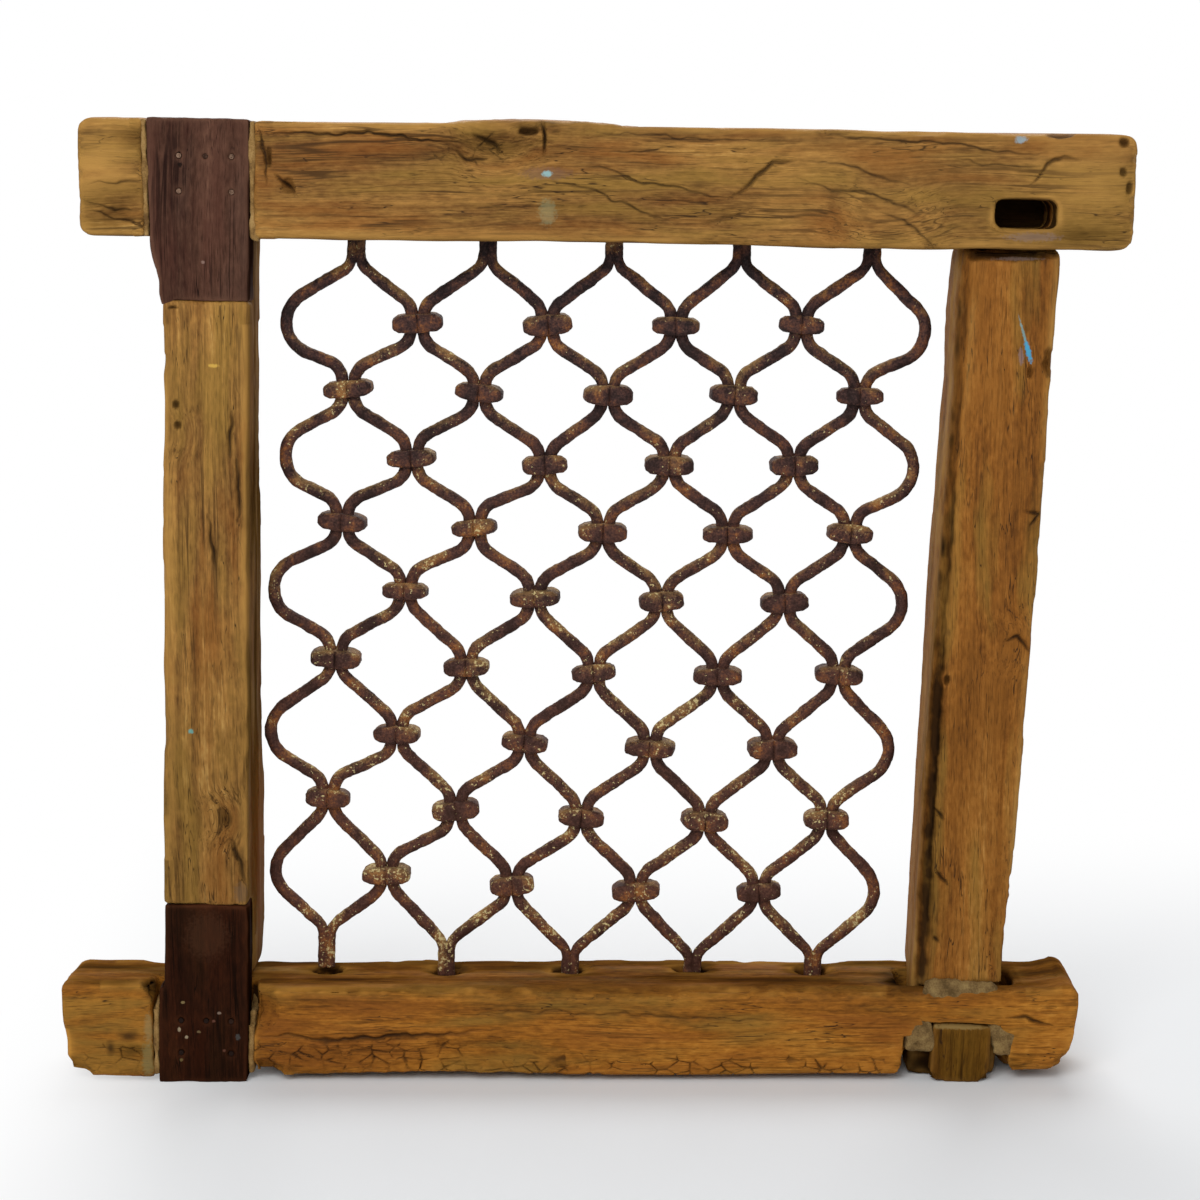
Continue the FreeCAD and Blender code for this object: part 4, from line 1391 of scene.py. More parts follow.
@dataclass
class Grille:
    """Wavy bars tied in pairs by hammered collars.

    Attributes:
        iron: Material of the bars and collars.
        lattice: Rule that places them.
        sides: Faces round a bar.
        ring_step: Spacing of a bar's rings.
        stray: How far a hand-bent bar strays from its line.
        stray_length: How long its waves are.
        hammer_depth: Height of hammer marks.
        hammer_size: Size of a hammer mark.
        pit_depth: Height of the rust.
        pit_size: Size of a pit in the rust.
        taper: Width of a bar at the rails, as a share of its width elsewhere.
        collar_wide: Half the width of a collar.
        collar_deep: Half its depth.
        collar_high: Its height along the bars.
        collar_lap: How far each lobe reaches past the middle, into the other one.
        collar_turn: How far a collar may sit askew, in degrees.
        smallest: Smallest collar across, front to back and up, as shares of the usual size.
        largest: Largest collar in the same way.
    """

    iron: Material
    lattice: Lattice = field(default_factory=Lattice)
    sides: int = 14
    ring_step: float = 1.5
    stray: float = 1.0
    stray_length: float = 42.0
    hammer_depth: float = 0.4
    hammer_size: float = 11.0
    pit_depth: float = 0.3
    pit_size: float = 3.4
    taper: float = 0.86
    collar_wide: float = 17.2
    collar_deep: float = 10.6
    collar_high: float = 12.8
    collar_lap: float = 0.6
    collar_turn: float = 7.0
    smallest: Spot = (0.92, 0.95, 0.9)
    largest: Spot = (1.05, 1.05, 1.12)

    def bar_tree(self) -> Tree:
        """Tree that sweeps an uneven round bar along a line of points.

        Returns:
            The tree.
        """
        tree, given = new_tree("hand_forged_bar", {
            "Diameter": "Float", "Sides": "Int", "Ring Step": "Float", "Stray": "Float", "Taper": "Float",
            "Tang": "Float", "Hammer Depth": "Float", "Pit Depth": "Float", "Iron": "Material",
        })
        line = add(tree, "GeometryNodeMeshToCurve", (given["Geometry"],))
        steps = {"Curve": line, "Length": given["Ring Step"]}
        even = add(tree, "GeometryNodeResampleCurve", steps, mode="LENGTH")
        place = add(tree, "GeometryNodeInputPosition")
        waves = {"Vector": place, "Scale": 1 / (self.stray_length * MM), "Detail": 2.0}
        drift = add(tree, "ShaderNodeTexNoise", waves)
        middle = (0.5, 0.5, 0.5)
        off = add(tree, "ShaderNodeVectorMath", (drift.outputs["Color"], middle), operation="SUBTRACT")
        moved = add(tree, "ShaderNodeVectorMath", (off, given["Stray"]), operation="SCALE")
        bent = add(tree, "GeometryNodeSetPosition", {"Geometry": even, "Offset": moved})
        radius = add(tree, "ShaderNodeMath", (given["Diameter"], 0.5), operation="MULTIPLY")
        ring = {"Resolution": given["Sides"], "Radius": radius}
        section = add(tree, "GeometryNodeCurvePrimitiveCircle", ring)
        run = add(tree, "GeometryNodeSplineParameter").outputs["Length"]
        whole = add(tree, "GeometryNodeSplineLength").outputs["Length"]
        rest = add(tree, "ShaderNodeMath", (whole, run), operation="SUBTRACT")
        to_end = add(tree, "ShaderNodeMath", (run, rest), operation="MINIMUM")
        twice = add(tree, "ShaderNodeMath", (given["Tang"], 2.0), operation="MULTIPLY")
        width = add(tree, "ShaderNodeMapRange", {
            "Value": to_end, "From Min": given["Tang"], "From Max": twice,
            "To Min": given["Taper"], "To Max": 1.0,
        })
        sweep = {"Curve": bent, "Profile Curve": section, "Scale": width, "Fill Caps": True}
        tube = add(tree, "GeometryNodeCurveToMesh", sweep)
        end_tree(tree, self.roughened(tree, tube, given), given)
        return tree

    def roughened(self, tree: Tree, shape: Node, given: Given) -> Node:
        """Add hammer marks and rust pits to a shape in a tree.

        Args:
            tree: Geometry tree.
            shape: Node that gives the shape.
            given: Inputs of the tree, with the depths.

        Returns:
            Node that gives the rough shape.
        """
        place = add(tree, "GeometryNodeInputPosition")
        total: Any = 0.0
        marks = ((self.hammer_size, 1.0, "Hammer Depth"), (self.pit_size, 2.0, "Pit Depth"))
        for size, detail, depth in marks:
            pattern = {"Vector": place, "Scale": 1 / (size * MM), "Detail": detail}
            waves = add(tree, "ShaderNodeTexNoise", pattern)
            around = add(tree, "ShaderNodeMath", (waves, 0.5), operation="SUBTRACT")
            spread = add(tree, "ShaderNodeMath", (around, 4.0), operation="MULTIPLY")
            lift = add(tree, "ShaderNodeMath", (spread, given[depth]), operation="MULTIPLY")
            total = add(tree, "ShaderNodeMath", (total, lift), operation="ADD")
        normal = add(tree, "GeometryNodeInputNormal").outputs["Normal"]
        offset = add(tree, "ShaderNodeVectorMath", (normal, total), operation="SCALE")
        upward = add(tree, "ShaderNodeSeparateXYZ", (normal,)).outputs["Z"]
        note = {"Geometry": shape, "Name": "upward", "Value": upward}
        noted = add(tree, "GeometryNodeStoreNamedAttribute", note)
        return add(tree, "GeometryNodeSetPosition", {"Geometry": noted, "Offset": offset})

    def collar_tree(self) -> Tree:
        """Tree that sets a pattern collar, each a little askew, on points.

        Returns:
            The tree.
        """
        tree, given = new_tree("hammered_collars", {
            "Collar": "Object", "Turn": "Vector", "Smallest": "Vector", "Largest": "Vector", "Seed": "Int",
            "Hammer Depth": "Float", "Pit Depth": "Float", "Iron": "Material",
        })
        back = add(tree, "ShaderNodeVectorMath", (given["Turn"], -1.0), operation="SCALE")
        turn, scale = (
            add(tree, "FunctionNodeRandomValue", {"Min": least, "Max": most, "Seed": given["Seed"]},
                data_type="FLOAT_VECTOR")
            for least, most in ((back, given["Turn"]), (given["Smallest"], given["Largest"]))
        )
        pattern = add(tree, "GeometryNodeObjectInfo", {"Object": given["Collar"]}).outputs["Geometry"]
        tied = add(tree, "GeometryNodeInstanceOnPoints", {
            "Points": given["Geometry"], "Instance": pattern,
            "Rotation": add(tree, "FunctionNodeEulerToRotation", (turn,)), "Scale": scale,
        })
        real = add(tree, "GeometryNodeRealizeInstances", (tied,))
        finer = add(tree, "GeometryNodeSubdivideMesh", {"Mesh": real, "Level": 1})
        end_tree(tree, self.roughened(tree, finer, given), given)
        return tree

    def collar_pattern(self) -> Object:
        """Two blunt lobes of a strip hammered round a pair of bars, with a seam between them.

        Each lobe is flat at the front, chamfered above and below, and tapers to its outer end.

        Returns:
            Object that is only instanced.
        """
        around = np.linspace(0, 2 * math.pi, 24, endpoint=False)
        boxy_x = np.sign(np.cos(around)) * np.abs(np.cos(around)) ** 0.38
        boxy_y = np.sign(np.sin(around)) * np.abs(np.sin(around)) ** 0.38
        # Height, width and depth of each ring, as shares of the collar's own
        levels = (
            (-1.0, 0.8, 0.84), (-0.74, 0.96, 0.97), (-0.5, 1.0, 1.0), (0.45, 1.0, 1.0),
            (0.7, 0.95, 0.95), (1.0, 0.78, 0.8),
        )
        shape = bmesh.new()
        for side in (-1, 1):
            loops = []
            for level, wide, deep in levels:
                inner, outer = -self.collar_lap, self.collar_wide * wide
                across = side * ((inner + outer) / 2 + boxy_x * (outer - inner) / 2)
                rise = level * self.collar_high / 2 * (1 - 0.24 * (across / self.collar_wide) ** 2)
                spots = np.stack((across, boxy_y * self.collar_deep * deep, rise), axis=1) * MM
                loops.append([shape.verts.new(spot) for spot in spots])
            for loop, following in zip(loops, loops[1:]):
                for one, two in zip(range(len(around)), list(range(1, len(around))) + [0]):
                    shape.faces.new((loop[one], loop[two], following[two], following[one]))
            shape.faces.new(loops[0])
            shape.faces.new(loops[-1])
        bmesh.ops.recalc_face_normals(shape, faces=shape.faces)
        return linked("collar_pattern", poured(shape, "collar_pattern"))

    def build(self) -> None:
        """Make every bar and every row of collars."""
        tree = self.bar_tree()
        depths = {"Hammer Depth": self.hammer_depth * MM, "Pit Depth": self.pit_depth * MM, "Iron": self.iron}
        for bar in range(2 * self.lattice.columns):
            path = self.lattice.bar_path(bar)
            line = bpy.data.meshes.new("bar_line")
            line.from_pydata(path, list(zip(range(len(path) - 1), range(1, len(path)))), [])
            values = {
                "Diameter": self.lattice.bar * MM,
                "Sides": self.sides,
                "Ring Step": self.ring_step * MM,
                "Stray": 2 * self.stray * MM,
                "Taper": self.taper,
                "Tang": self.lattice.top_end * MM,
                **depths,
            }
            mesh = grown(line, tree, values)
            finish_piece(f"forged_bar_{bar + 1}", mesh, f"grille_bar_{bar + 1}")
        pattern = self.collar_pattern()
        tree = self.collar_tree()
        lean = math.radians(self.collar_turn)
        for row in range(1, self.lattice.rows):
            columns = self.lattice.row_columns(row)
            places = [self.lattice.world(*self.lattice.crossing(row, column)) for column in columns]
            points = bpy.data.meshes.new("collar_points")
            points.from_pydata(places, [], [])
            values = {
                "Collar": pattern,
                "Turn": (lean * 0.6, lean, lean * 0.8),
                "Smallest": self.smallest,
                "Largest": self.largest,
                "Seed": row,
                **depths,
            }
            mesh = grown(points, tree, values)
            finish_piece(f"hammered_collars_{row}", mesh, f"collars_row_{row}", sharp=28.0)
        bpy.data.objects.remove(pattern)


@dataclass
class NailHeads:
    """Nails that hold a patch, filed flush.

    Attributes:
        node: CAD node.
        radius: Radius of a nail.
        kept: Length of shank behind the head.
        dullest: How dull a head may be, where 0 and less is black.
        brightest: How bright a head may be, up to 1.
        grit: Size of the rust on a head.
        seed: Picks other brightnesses.
    """

    node: str
    radius: float = 1.7
    kept: float = 9.0
    dullest: float = -0.2
    brightest: float = 0.8
    grit: float = 1.2
    seed: int = 3

    def finish(self) -> Material:
        """Filed iron: most heads are nearly black with rust, some bright where the file passed last.

        Returns:
            The material.
        """
        material, mm = new_material(f"filed_iron_{self.node}")
        tree = material.node_tree
        grit = add(tree, "ShaderNodeTexNoise", {"Vector": mm, "Scale": 1 / self.grit, "Detail": 2.0})
        bright = add(tree, "ShaderNodeAttribute", attribute_name="bright").outputs["Fac"]
        tone = add(tree, "ShaderNodeMath", (grit, 0.5, bright), operation="MULTIPLY_ADD")
        most = 1.3
        even = add(tree, "ShaderNodeMath", (tone, 1 / most), operation="MULTIPLY")
        tones = ((0.3, "#170A05"), (0.75, "#2E1B11"), (1.0, "#7C6250"), (most, "#C9B99E"))
        stops = [(at / most, code) for at, code in tones]
        return dress(material, {
            "Base Color": add(tree, "ShaderNodeValToRGB", {"Fac": even}, stops=stops),
            "Roughness": 0.7,
            "Specular IOR Level": 0.1,
        })

    def heads(self) -> list[Vector]:
        """Find the middle of each nail's front end.

        Returns:
            The middles, in metres.
        """
        source = welded(self.node)
        seen, middles = set(), []
        for start in source.verts:
            reached, island = [start], []
            while reached:
                vert = reached.pop()
                if vert not in seen:
                    seen.add(vert)
                    island.append(vert.co.copy())
                    reached.extend(edge.other_vert(vert) for edge in vert.link_edges)
            if island:
                low, high = (Vector([pick(axis) for axis in zip(*island)]) for pick in (min, max))
                middles.append(Vector(((low.x + high.x) / 2, low.y, (low.z + high.z) / 2)))
        source.free()
        return middles

    def tree(self) -> Tree:
        """Tree that sets a nail, with its own brightness, on points.

        Returns:
            The tree.
        """
        tree, given = new_tree("flush_nails", {
            "Radius": "Float", "Kept": "Float", "Dullest": "Float", "Brightest": "Float", "Seed": "Int",
            "Iron": "Material",
        })
        size = {"Vertices": 18, "Radius": given["Radius"], "Depth": given["Kept"]}
        shank = add(tree, "GeometryNodeMeshCylinder", size).outputs["Mesh"]
        nails = add(tree, "GeometryNodeInstanceOnPoints", {
            "Points": given["Geometry"], "Instance": shank, "Rotation": (math.pi / 2, 0, 0),
        })
        span = {"Min": given["Dullest"], "Max": given["Brightest"], "Seed": given["Seed"]}
        bright = add(tree, "FunctionNodeRandomValue", span, data_type="FLOAT")
        note = {"Geometry": nails, "Name": "bright", "Value": bright}
        noted = add(tree, "GeometryNodeStoreNamedAttribute", note, domain="INSTANCE")
        end_tree(tree, noted, given)
        return tree

    def build(self) -> None:
        """Make the nails of the patch."""
        points = bpy.data.meshes.new("nail_points")
        points.from_pydata([head + Vector((0, self.kept / 2 * MM, 0)) for head in self.heads()], [], [])
        values = {
            "Radius": self.radius * MM,
            "Kept": self.kept * MM,
            "Dullest": self.dullest,
            "Brightest": self.brightest,
            "Seed": self.seed,
            "Iron": self.finish(),
        }
        mesh = grown(points, self.tree(), values)
        finish_piece(f"filed_{self.node}", mesh, self.node, sharp=30.0)


@dataclass
class Studio:
    """Plain white sweep, soft lamps and the camera.

    Attributes:
        lens: Focal length on a 36 mm sensor.
        eye: Place of the camera, in metres.
        pitch: How far the camera looks down, in degrees.
        sky: Strength of the world's light.
        key: Power of the lamp at the front, in watts.
        fill: Power of the low lamp at the right, in watts.
        back: Power of the lamp above the back, which throws the shadow on the floor, in watts.
        lamp_side: Side of a lamp's square, in metres.
        aim: Point that the lamps look at, in metres.
    """

    lens: float = 77.1
    eye: Spot = (0.009, -1.8175, 0.6349)
    pitch: float = 9.0
    sky: float = 0.38
    key: float = 35.0
    fill: float = 4.0
    back: float = 26.0
    lamp_side: float = 1.4
    aim: Spot = (0, 0, 0.35)

    def camera(self) -> None:
        """Stand the camera at the photograph's viewing angle."""
        data = bpy.data.cameras.new("camera")
        data.lens = self.lens
        data.sensor_width = 36.0
        eye = linked("camera", data)
        eye.location = self.eye
        eye.rotation_euler = (math.radians(90 - self.pitch), 0, 0)
        bpy.context.scene.camera = eye

    def lamp(self, name: str, power: float, place: Spot) -> None:
        """Hang a square soft lamp that looks at the middle of the window.

        Args:
            name: Name of the lamp.
            power: Power in watts.
            place: Place in metres.
        """
        data = bpy.data.lights.new(name, "AREA")
        data.energy = power
        data.size = self.lamp_side
        lamp = linked(name, data)
        lamp.location = place
        lamp.rotation_euler = (Vector(self.aim) - Vector(place)).to_track_quat("-Z", "Y").to_euler()

    def seen(self, tree: Tree) -> Node:
        """Tell whether the camera or a reflection looks.

        Args:
            tree: Shader tree.

        Returns:
            Node that gives 1 where one of them does.
        """
        path = add(tree, "ShaderNodeLightPath").outputs
        looks = (path["Is Camera Ray"], path["Is Glossy Ray"])
        return add(tree, "ShaderNodeMath", looks, operation="MAXIMUM")

    def world(self) -> None:
        """Even white light that the camera and reflections see as full white."""
        world = bpy.data.worlds.new("white_room")
        world.use_nodes = True
        tree = world.node_tree
        span = {"Value": self.seen(tree), "To Min": self.sky, "To Max": 1.0}
        light = tree.nodes["Background"].inputs
        plug(tree, light["Strength"], add(tree, "ShaderNodeMapRange", span))
        plug(tree, light["Color"], linear("#FFFFFF"))
        bpy.context.scene.world = world

    def floor(self) -> None:
        """Pale floor that keeps the window's shadow and fades into the white room."""
        material, mm = new_material("pale_paper_floor")
        tree = material.node_tree
        dress(material, {"Base Color": linear("#EAECEE"), "Roughness": 0.9, "Specular IOR Level": 0.1})
        parts = add(tree, "ShaderNodeSeparateXYZ", (mm,)).outputs
        reach = add(tree, "ShaderNodeVectorMath", (mm,), operation="LENGTH")
        fade: Any = 0.0
        # Where the floor begins to fade and where it is white: outwards, to the back and to the left
        for way, near, far in ((reach, 900, 1800), (parts["Y"], 50, 720), (parts["X"], -200, -460)):
            ends = {"Value": way, "From Min": near, "From Max": far}
            faded = add(tree, "ShaderNodeMapRange", ends, interpolation_type="SMOOTHSTEP")
            fade = add(tree, "ShaderNodeMath", (fade, faded), operation="MAXIMUM")
        share = add(tree, "ShaderNodeMath", (fade, self.seen(tree)), operation="MULTIPLY")
        white = add(tree, "ShaderNodeEmission", {"Strength": 1.0})
        both = add(tree, "ShaderNodeMixShader", (share, tree.nodes["Principled BSDF"], white))
        plug(tree, tree.nodes["Material Output"].inputs["Surface"], both)
        sheet = bmesh.new()
        bmesh.ops.create_grid(sheet, x_segments=8, y_segments=8, size=3.0)
        mesh = poured(sheet, "floor")
        mesh.materials.append(material)
        linked("floor", mesh)

    def build(self) -> None:
        """Set up the whole studio."""
        bpy.context.scene.view_settings.view_transform = "Standard"
        self.camera()
        self.world()
        self.floor()
        self.lamp("key_lamp", self.key, (-0.5, -1.9, 1.6))
        self.lamp("back_lamp", self.back, (0.1, 1.3, 1.75))
        self.lamp("fill_lamp", self.fill, (0.9, -2.2, 0.9))


HONEY = ("#3F2912", "#6A4822", "#86602F", "#A0743A", "#BC9150")
AMBER = ("#3A2009", "#653C14", "#84521E", "#9C672B", "#B98443")
RUSSET = ("#3F2407", "#6D4213", "#8F591B", "#AB7027", "#C9913E")
UMBER = ("#2A1804", "#452B0B", "#58390F", "#6C4816", "#815A22")
PLUM = ("#1E0E0A", "#321C15", "#452D22", "#573A2D", "#6A4A3A")
COFFEE = ("#0E0502", "#1B0B04", "#261107", "#33180A", "#47240F")


def top_rail() -> Timber:
    """Top rail: a knotty, cracked beam with a hump at its top edge, an old scar and specks of blue paint.

    Returns:
        The timber.
    """
    marks = (
        Dent((-32, -12, 683), (66, 60, 16), -4.5, ragged=0.1, dirty=0.0),
        Dent((325, FRONT + 4, 675), (11, 12, 4), 3.5, dark=0.5),
        Crack(((-221, 676), (-185, 674), (-150, 676), (-120, 671), (-80, 669)), 0.9),
        Crack(((-224, 679), (-221, 667), (-219, 653), (-218, 640)), 1.0),
        Dent((-217, FRONT, 658), (2.2, 6, 8), 3.0, dark=0.6),
        Dent((-205, FRONT, 639), (6, 6, 6), 2.5, dark=0.3, dirty=0.4),
        Crack(((-212, 647), (-199, 634)), width=1.5, depth=3.0),
        Crack(((-78, 675), (-64, 669), (-57, 660)), width=1.8, depth=3.5),
        Crack(((-92, 664), (-80, 658), (-66, 657)), width=1.2, depth=2.0),
        Crack(((-31, 692), (-30, 684), (-28, 674), (-29, 661)), width=1.2, depth=4.0, wobble=0.8, dark=1.0),
        Dent((-40, FRONT, 677), (8, 6, 4), 4.0, dark=0.7, steep=1.6),
        Crack(((-34, 643), (-8, 641), (6, 638), (17, 631), (31, 625), (46, 619), (61, 614)),
              0.8, 1.2, dark=0.75),
        Crack(((-14, 653), (8, 652), (17, 650), (28, 645), (39, 641), (54, 640), (74, 636), (85, 632),
               (100, 631)), 0.8, 1.2, 1.2, 0.8),
        Crack(((97, 631), (106, 636), (116, 646), (127, 655), (143, 657)), 1.6, 2.4, 1.0, 0.75),
        Crack(((0, 676), (17, 674), (39, 674), (62, 672), (101, 670), (132, 671)), 0.6, 0.6, dark=0.7),
        Crack(((14, 662), (31, 663), (54, 664)), 0.6, 0.6, dark=0.7),
        Crack(((82, 652), (101, 651), (116, 652)), 0.6, 0.6, dark=0.6),
        Crazing((-88, FRONT, 662), (30, 10, 15), cell=10.0, depth=0.9),
        Stain((95, FRONT, 679), (75, 12, 5), 0.7, "worn"),
        Crack(((78, 612), (96, 618), (113, 624)), width=1.6, depth=1.4, dark=0.4),
        Crack(((304, 641), (315, 654), (326, 660), (336, 657)), width=1.3, depth=2.0, dark=0.7),
        Crack(((161, 679), (162, 674), (195, 671), (230, 670), (261, 667), (295, 661), (314, 661)), 0.8, 0.7),
        Crack(((144, 658), (175, 655), (195, 648), (227, 639)), 0.9, 0.7, dark=0.7),
        Crack(((144, 645), (167, 636), (195, 635), (210, 627), (235, 620)), 0.9, 0.8, dark=0.8),
        Crack(((201, 622), (218, 616), (230, 605), (240, 596)), 0.9, 0.7, dark=0.7),
        Crack(((250, 658), (274, 654), (298, 653), (309, 653)), 0.8, 0.6, dark=0.7),
        Crack(((-341, 643), (-322, 641), (-304, 644)), 0.7, 1.0, 2.2, 0.7),
        Crack(((-341, 630), (-322, 625), (-308, 622)), 0.8, 1.2, 2.2, 0.8),
        Crack(((-339, 624), (-319, 617), (-304, 613)), 0.8, 1.2, 2.2, 0.8),
        Stain((-322, FRONT, 624), (30, 18, 18), 0.42),
        Dent((367, FRONT, 669), (4, 6, 4), 3.0, dark=0.5),
        Dent((367, FRONT, 649), (3, 6, 4), 3.0, dark=0.5),
        Dent((371, FRONT, 638), (3, 6, 5), 3.0, dark=0.5),
        Stain((-306, FRONT, 673), (16, 8, 8), 0.5),
        Stain((-60, FRONT, 668), (46, 8, 12), 0.35),
        Stain((330, FRONT, 606), (34, 20, 8), 0.5),
        Stain((-338, FRONT, 655), (34, 24, 24), 0.75, "worn"),
        Stain((345, FRONT, 650), (40, 24, 34), 0.45, "worn"),
        Stain((225, FRONT, 645), (130, 24, 44), 0.15, "worn"),
    )
    flecks = (
        Fleck((-27, FRONT, 648), (20, 6, 5), "#6E5044", 0.45),
        Fleck((-27, FRONT, 648), (4, 6, 2.4), "#8CBFC4", 0.65),
        Fleck((-27, FRONT, 622), (7, 6, 10), "#8A9A78", 0.25),
        Fleck((296, FRONT, 671), (5, 6, 3), "#8FB4C4", 0.55),
        Fleck((306, FRONT, 605), (22, 6, 3.5), "#7D6A60", 0.5),
    )
    knots = (Knot((-62, FRONT, 668), 46, 7), Knot((205, FRONT, 612), 60, 9))
    finish = AgedTimber("weathered_teak_top_rail", Grain.ALONG_X, HONEY, flecks=flecks, knots=knots)
    tight = (((-312, FRONT - 5, 590), (-214, -4, 700)),)
    # Painted shade on the underside, which points down.
    return Timber("top_rail", "timber", finish, marks, (((0, 0, -1), 0.5),), tight, grow=0.9, seed=100)


def sill(lattice: Lattice) -> Timber:
    """Sill: darker on top and dirty round the tangs, with a crazed lower front and a broken corner by the
    patch.

    Args:
        lattice: Rule that places the tangs.

    Returns:
        The timber.
    """
    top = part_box("bottom_rail")[1].z / MM
    last = lattice.rows
    ends = [lattice.world(*lattice.crossing(last, column)) / MM for column in lattice.row_columns(last)]
    tangs = [(end.x, end.y, top) for end in ends]
    marks = (
        Dent((40, FRONT - 1, 71), (330, 10, 9), 3.2, dirty=0.1),
        Dent((-120, FRONT, 12), (120, 12, 22), 2.2, dirty=0.1),
        Dent((-232, -30, 6), (14, 22, 13), 9.0, ragged=0.12, dirty=0.4),
        Dent((-372, FRONT, 8), (16, 40, 14), 5.0, dirty=0.3),
        Dent((350, FRONT, 8), (16, 40, 14), 5.0, dirty=0.3),
        Dent((-313, -33, 70), (7.5, 12, 10), 12.0, ragged=0.15, dark=1.0, steep=2.0),
        Stain((-312, -32, 68), (7.5, 13, 9), 1.4, "crack"),
        Dent((-238, FRONT, 58), (17, 16, 24), 4.0, ragged=0.1, dirty=0.3),
        Dent((221, -2, 26), (11, 26, 18), -12.0, ragged=0.1, dark=0.7, dirty=0.9),
        Dent((307, -2, 22), (11, 26, 20), -13.0, ragged=0.1, dark=0.7, dirty=0.9),
        Shove((220, FRONT, 28), (18, 40, 30), (6, 0, 0)),
        Shove((309, FRONT, 24), (16, 40, 22), (-3, 0, 0)),
        Shove((228, FRONT, 46), (13, 40, 13), (8, 0, -5)),
        Shove((309, FRONT, 46), (12, 40, 12), (-6, 0, -3)),
        Dent((345, 0, 72), (22, 50, 22), -1.5, ragged=0.05, dirty=0.0),
        Shove((352, 0, 62), (26, 90, 28), (2.5, 0, 3)),
        Shove((353, 0, 13), (26, 90, 26), (-4, 0, 2)),
        Shove((-350, -25, 68), (75, 50, 26), (0, 0, 4)),
        Shove((-378, -10, 60), (26, 70, 34), (-3.5, 0, 1)),
        Stain((-331, FRONT, 35), (9, 10, 4), 0.75, "crack"),
        Stain((-344, FRONT, 26), (3.5, 10, 6), 0.75, "crack"),
        Stain((-328, FRONT, 24), (14, 10, 6), 0.5),
        Stain((228, -14, 70), (17, 24, 16), 0.9, "crack"),
        Stain((-243, FRONT, 66), (6, 24, 14), 0.95),
        Stain((-10, FRONT + 12, 68), (330, 16, 5), 0.5),
        Dent((-300, FRONT, 3), (80, 50, 14), -1.5, ragged=0.1, dirty=0.0),
        Dent((320, FRONT, 4), (70, 50, 9), 3.0, ragged=0.1, dirty=0.1),
        Stain((226, -18, 62), (15, 20, 18), 1.0),
        Stain((312, -5, 60), (12, 24, 18), 1.0),
        Stain((264, -5, 10), (50, 60, 26), 0.9),
        Crazing((-170, FRONT, 18), (92, 14, 13), cell=8.0, width=0.15),
        Crazing((60, FRONT, 11), (190, 14, 8), cell=8.0, width=0.13),
        Crazing((-345, FRONT, 18), (20, 14, 14), cell=8.0, width=0.13),
        Crack(((-237, 36), (-187, 31), (-130, 34), (-77, 39)), width=1.6, depth=2.6),
        Crack(((-121, 51), (-20, 53), (81, 48), (175, 45)), width=0.9, depth=0.8, dark=0.5),
        Crack(((301, 48), (315, 48), (327, 45), (336, 42)), width=1.3, depth=2.4),
        Stain((310, 0, 70), (40, 40, 10), 0.7),
        *(Stain(tang, (26, 26, 9), 0.95) for tang in tangs),
        *(Dent(tang, (12, 8.5, 9), 3.0, ragged=0.45, dark=0.8, steep=1.6) for tang in tangs),
    )
    smears = (
        Fleck((-317, FRONT, 17), (5, 6, 16), "#77683F", 0.75),
        Fleck((-316, FRONT, 40), (4, 6, 13), "#84724A", 0.6),
    )
    finish = AgedTimber(
        "weathered_teak_sill", Grain.ALONG_X, RUSSET, "#BE8638", pith=(60.0, 10.0), contrast=0.55, lines=0.5,
        flecks=smears,
    )
    tight = (((-322, FRONT - 5, 0), (-244, -4, 80)), ((215, FRONT - 5, 0), (315, 30, 80)),
             ((-380, FRONT - 5, 40), (-350, 40, 80)), ((340, FRONT - 5, 40), (380, 40, 80)))
    # The top face is darkened.
    return Timber("bottom_rail", "timber", finish, marks, (((0, 0, 1), 0.64),), tight, 2.6, seed=200)


def left_stile() -> Timber:
    """Left stile: streaky, with a knot and a sliver at its foot and an inner side darkened by painted shade.

    Returns:
        The timber.
    """
    marks = (
        Dent((-232, 30, 560), (16, 50, 160), 2.5, ragged=0.1, dirty=0.0),
        Dent((-240, 30, 140), (16, 50, 130), -2.0, ragged=0.1, dirty=0.0),
        Dent((-285, FRONT, 490), (2.5, 5, 3), 2.0, dark=0.6),
        Dent((-284, FRONT, 476), (2.5, 5, 3), 2.0, dark=0.6),
        Dent((-286, FRONT, 557), (4, 6, 1.6), 3.0, dark=0.7),
        Crack(((-247, 486), (-248, 452))),
        Crack(((-243, 455), (-244, 406))),
        Crack(((-264, 413), (-261, 374))),
        Crack(((-253, 182), (-248, 165), (-244, 146)), width=1.8, depth=3.0),
        Dent((-258, FRONT, 195), (6, 6, 9), 2.0, dark=0.4),
        Stain((-296, FRONT, 380), (8, 30, 230), 0.55, "worn"),
        Stain((-266, FRONT, 200), (70, 60, 150), 0.28),
    )
    flecks = (
        Fleck((-258, FRONT, 517), (4, 6, 1.4), "#C9A24A", 0.8),
        Fleck((-280, FRONT, 259), (2, 6, 2), "#5E9A94", 0.8),
        Fleck((-247, FRONT, 141), (6, 6, 8), "#66503A", 0.6),
        Fleck((-234, 0, 150), (9, 60, 120), "#7A3E14", 0.55),
    )
    knots = (Knot((-258, FRONT, 195), 32, 6), Knot((-282, FRONT, 470), 26, 3))
    finish = AgedTimber(
        "weathered_teak_left_stile", Grain.ALONG_Z, HONEY, pith=(60.0, -250.0), lines=0.7,
        flecks=flecks, knots=knots,
    )
    tight = (((-320, FRONT - 5, 100), (-240, 40, 165)), ((-320, FRONT - 5, 545), (-215, 40, 625)))
    # Painted shade on the inner side, which points right.
    return Timber("left_stile", "timber", finish, marks, (((1, 0, 0), 0.6),), tight, seed=300)


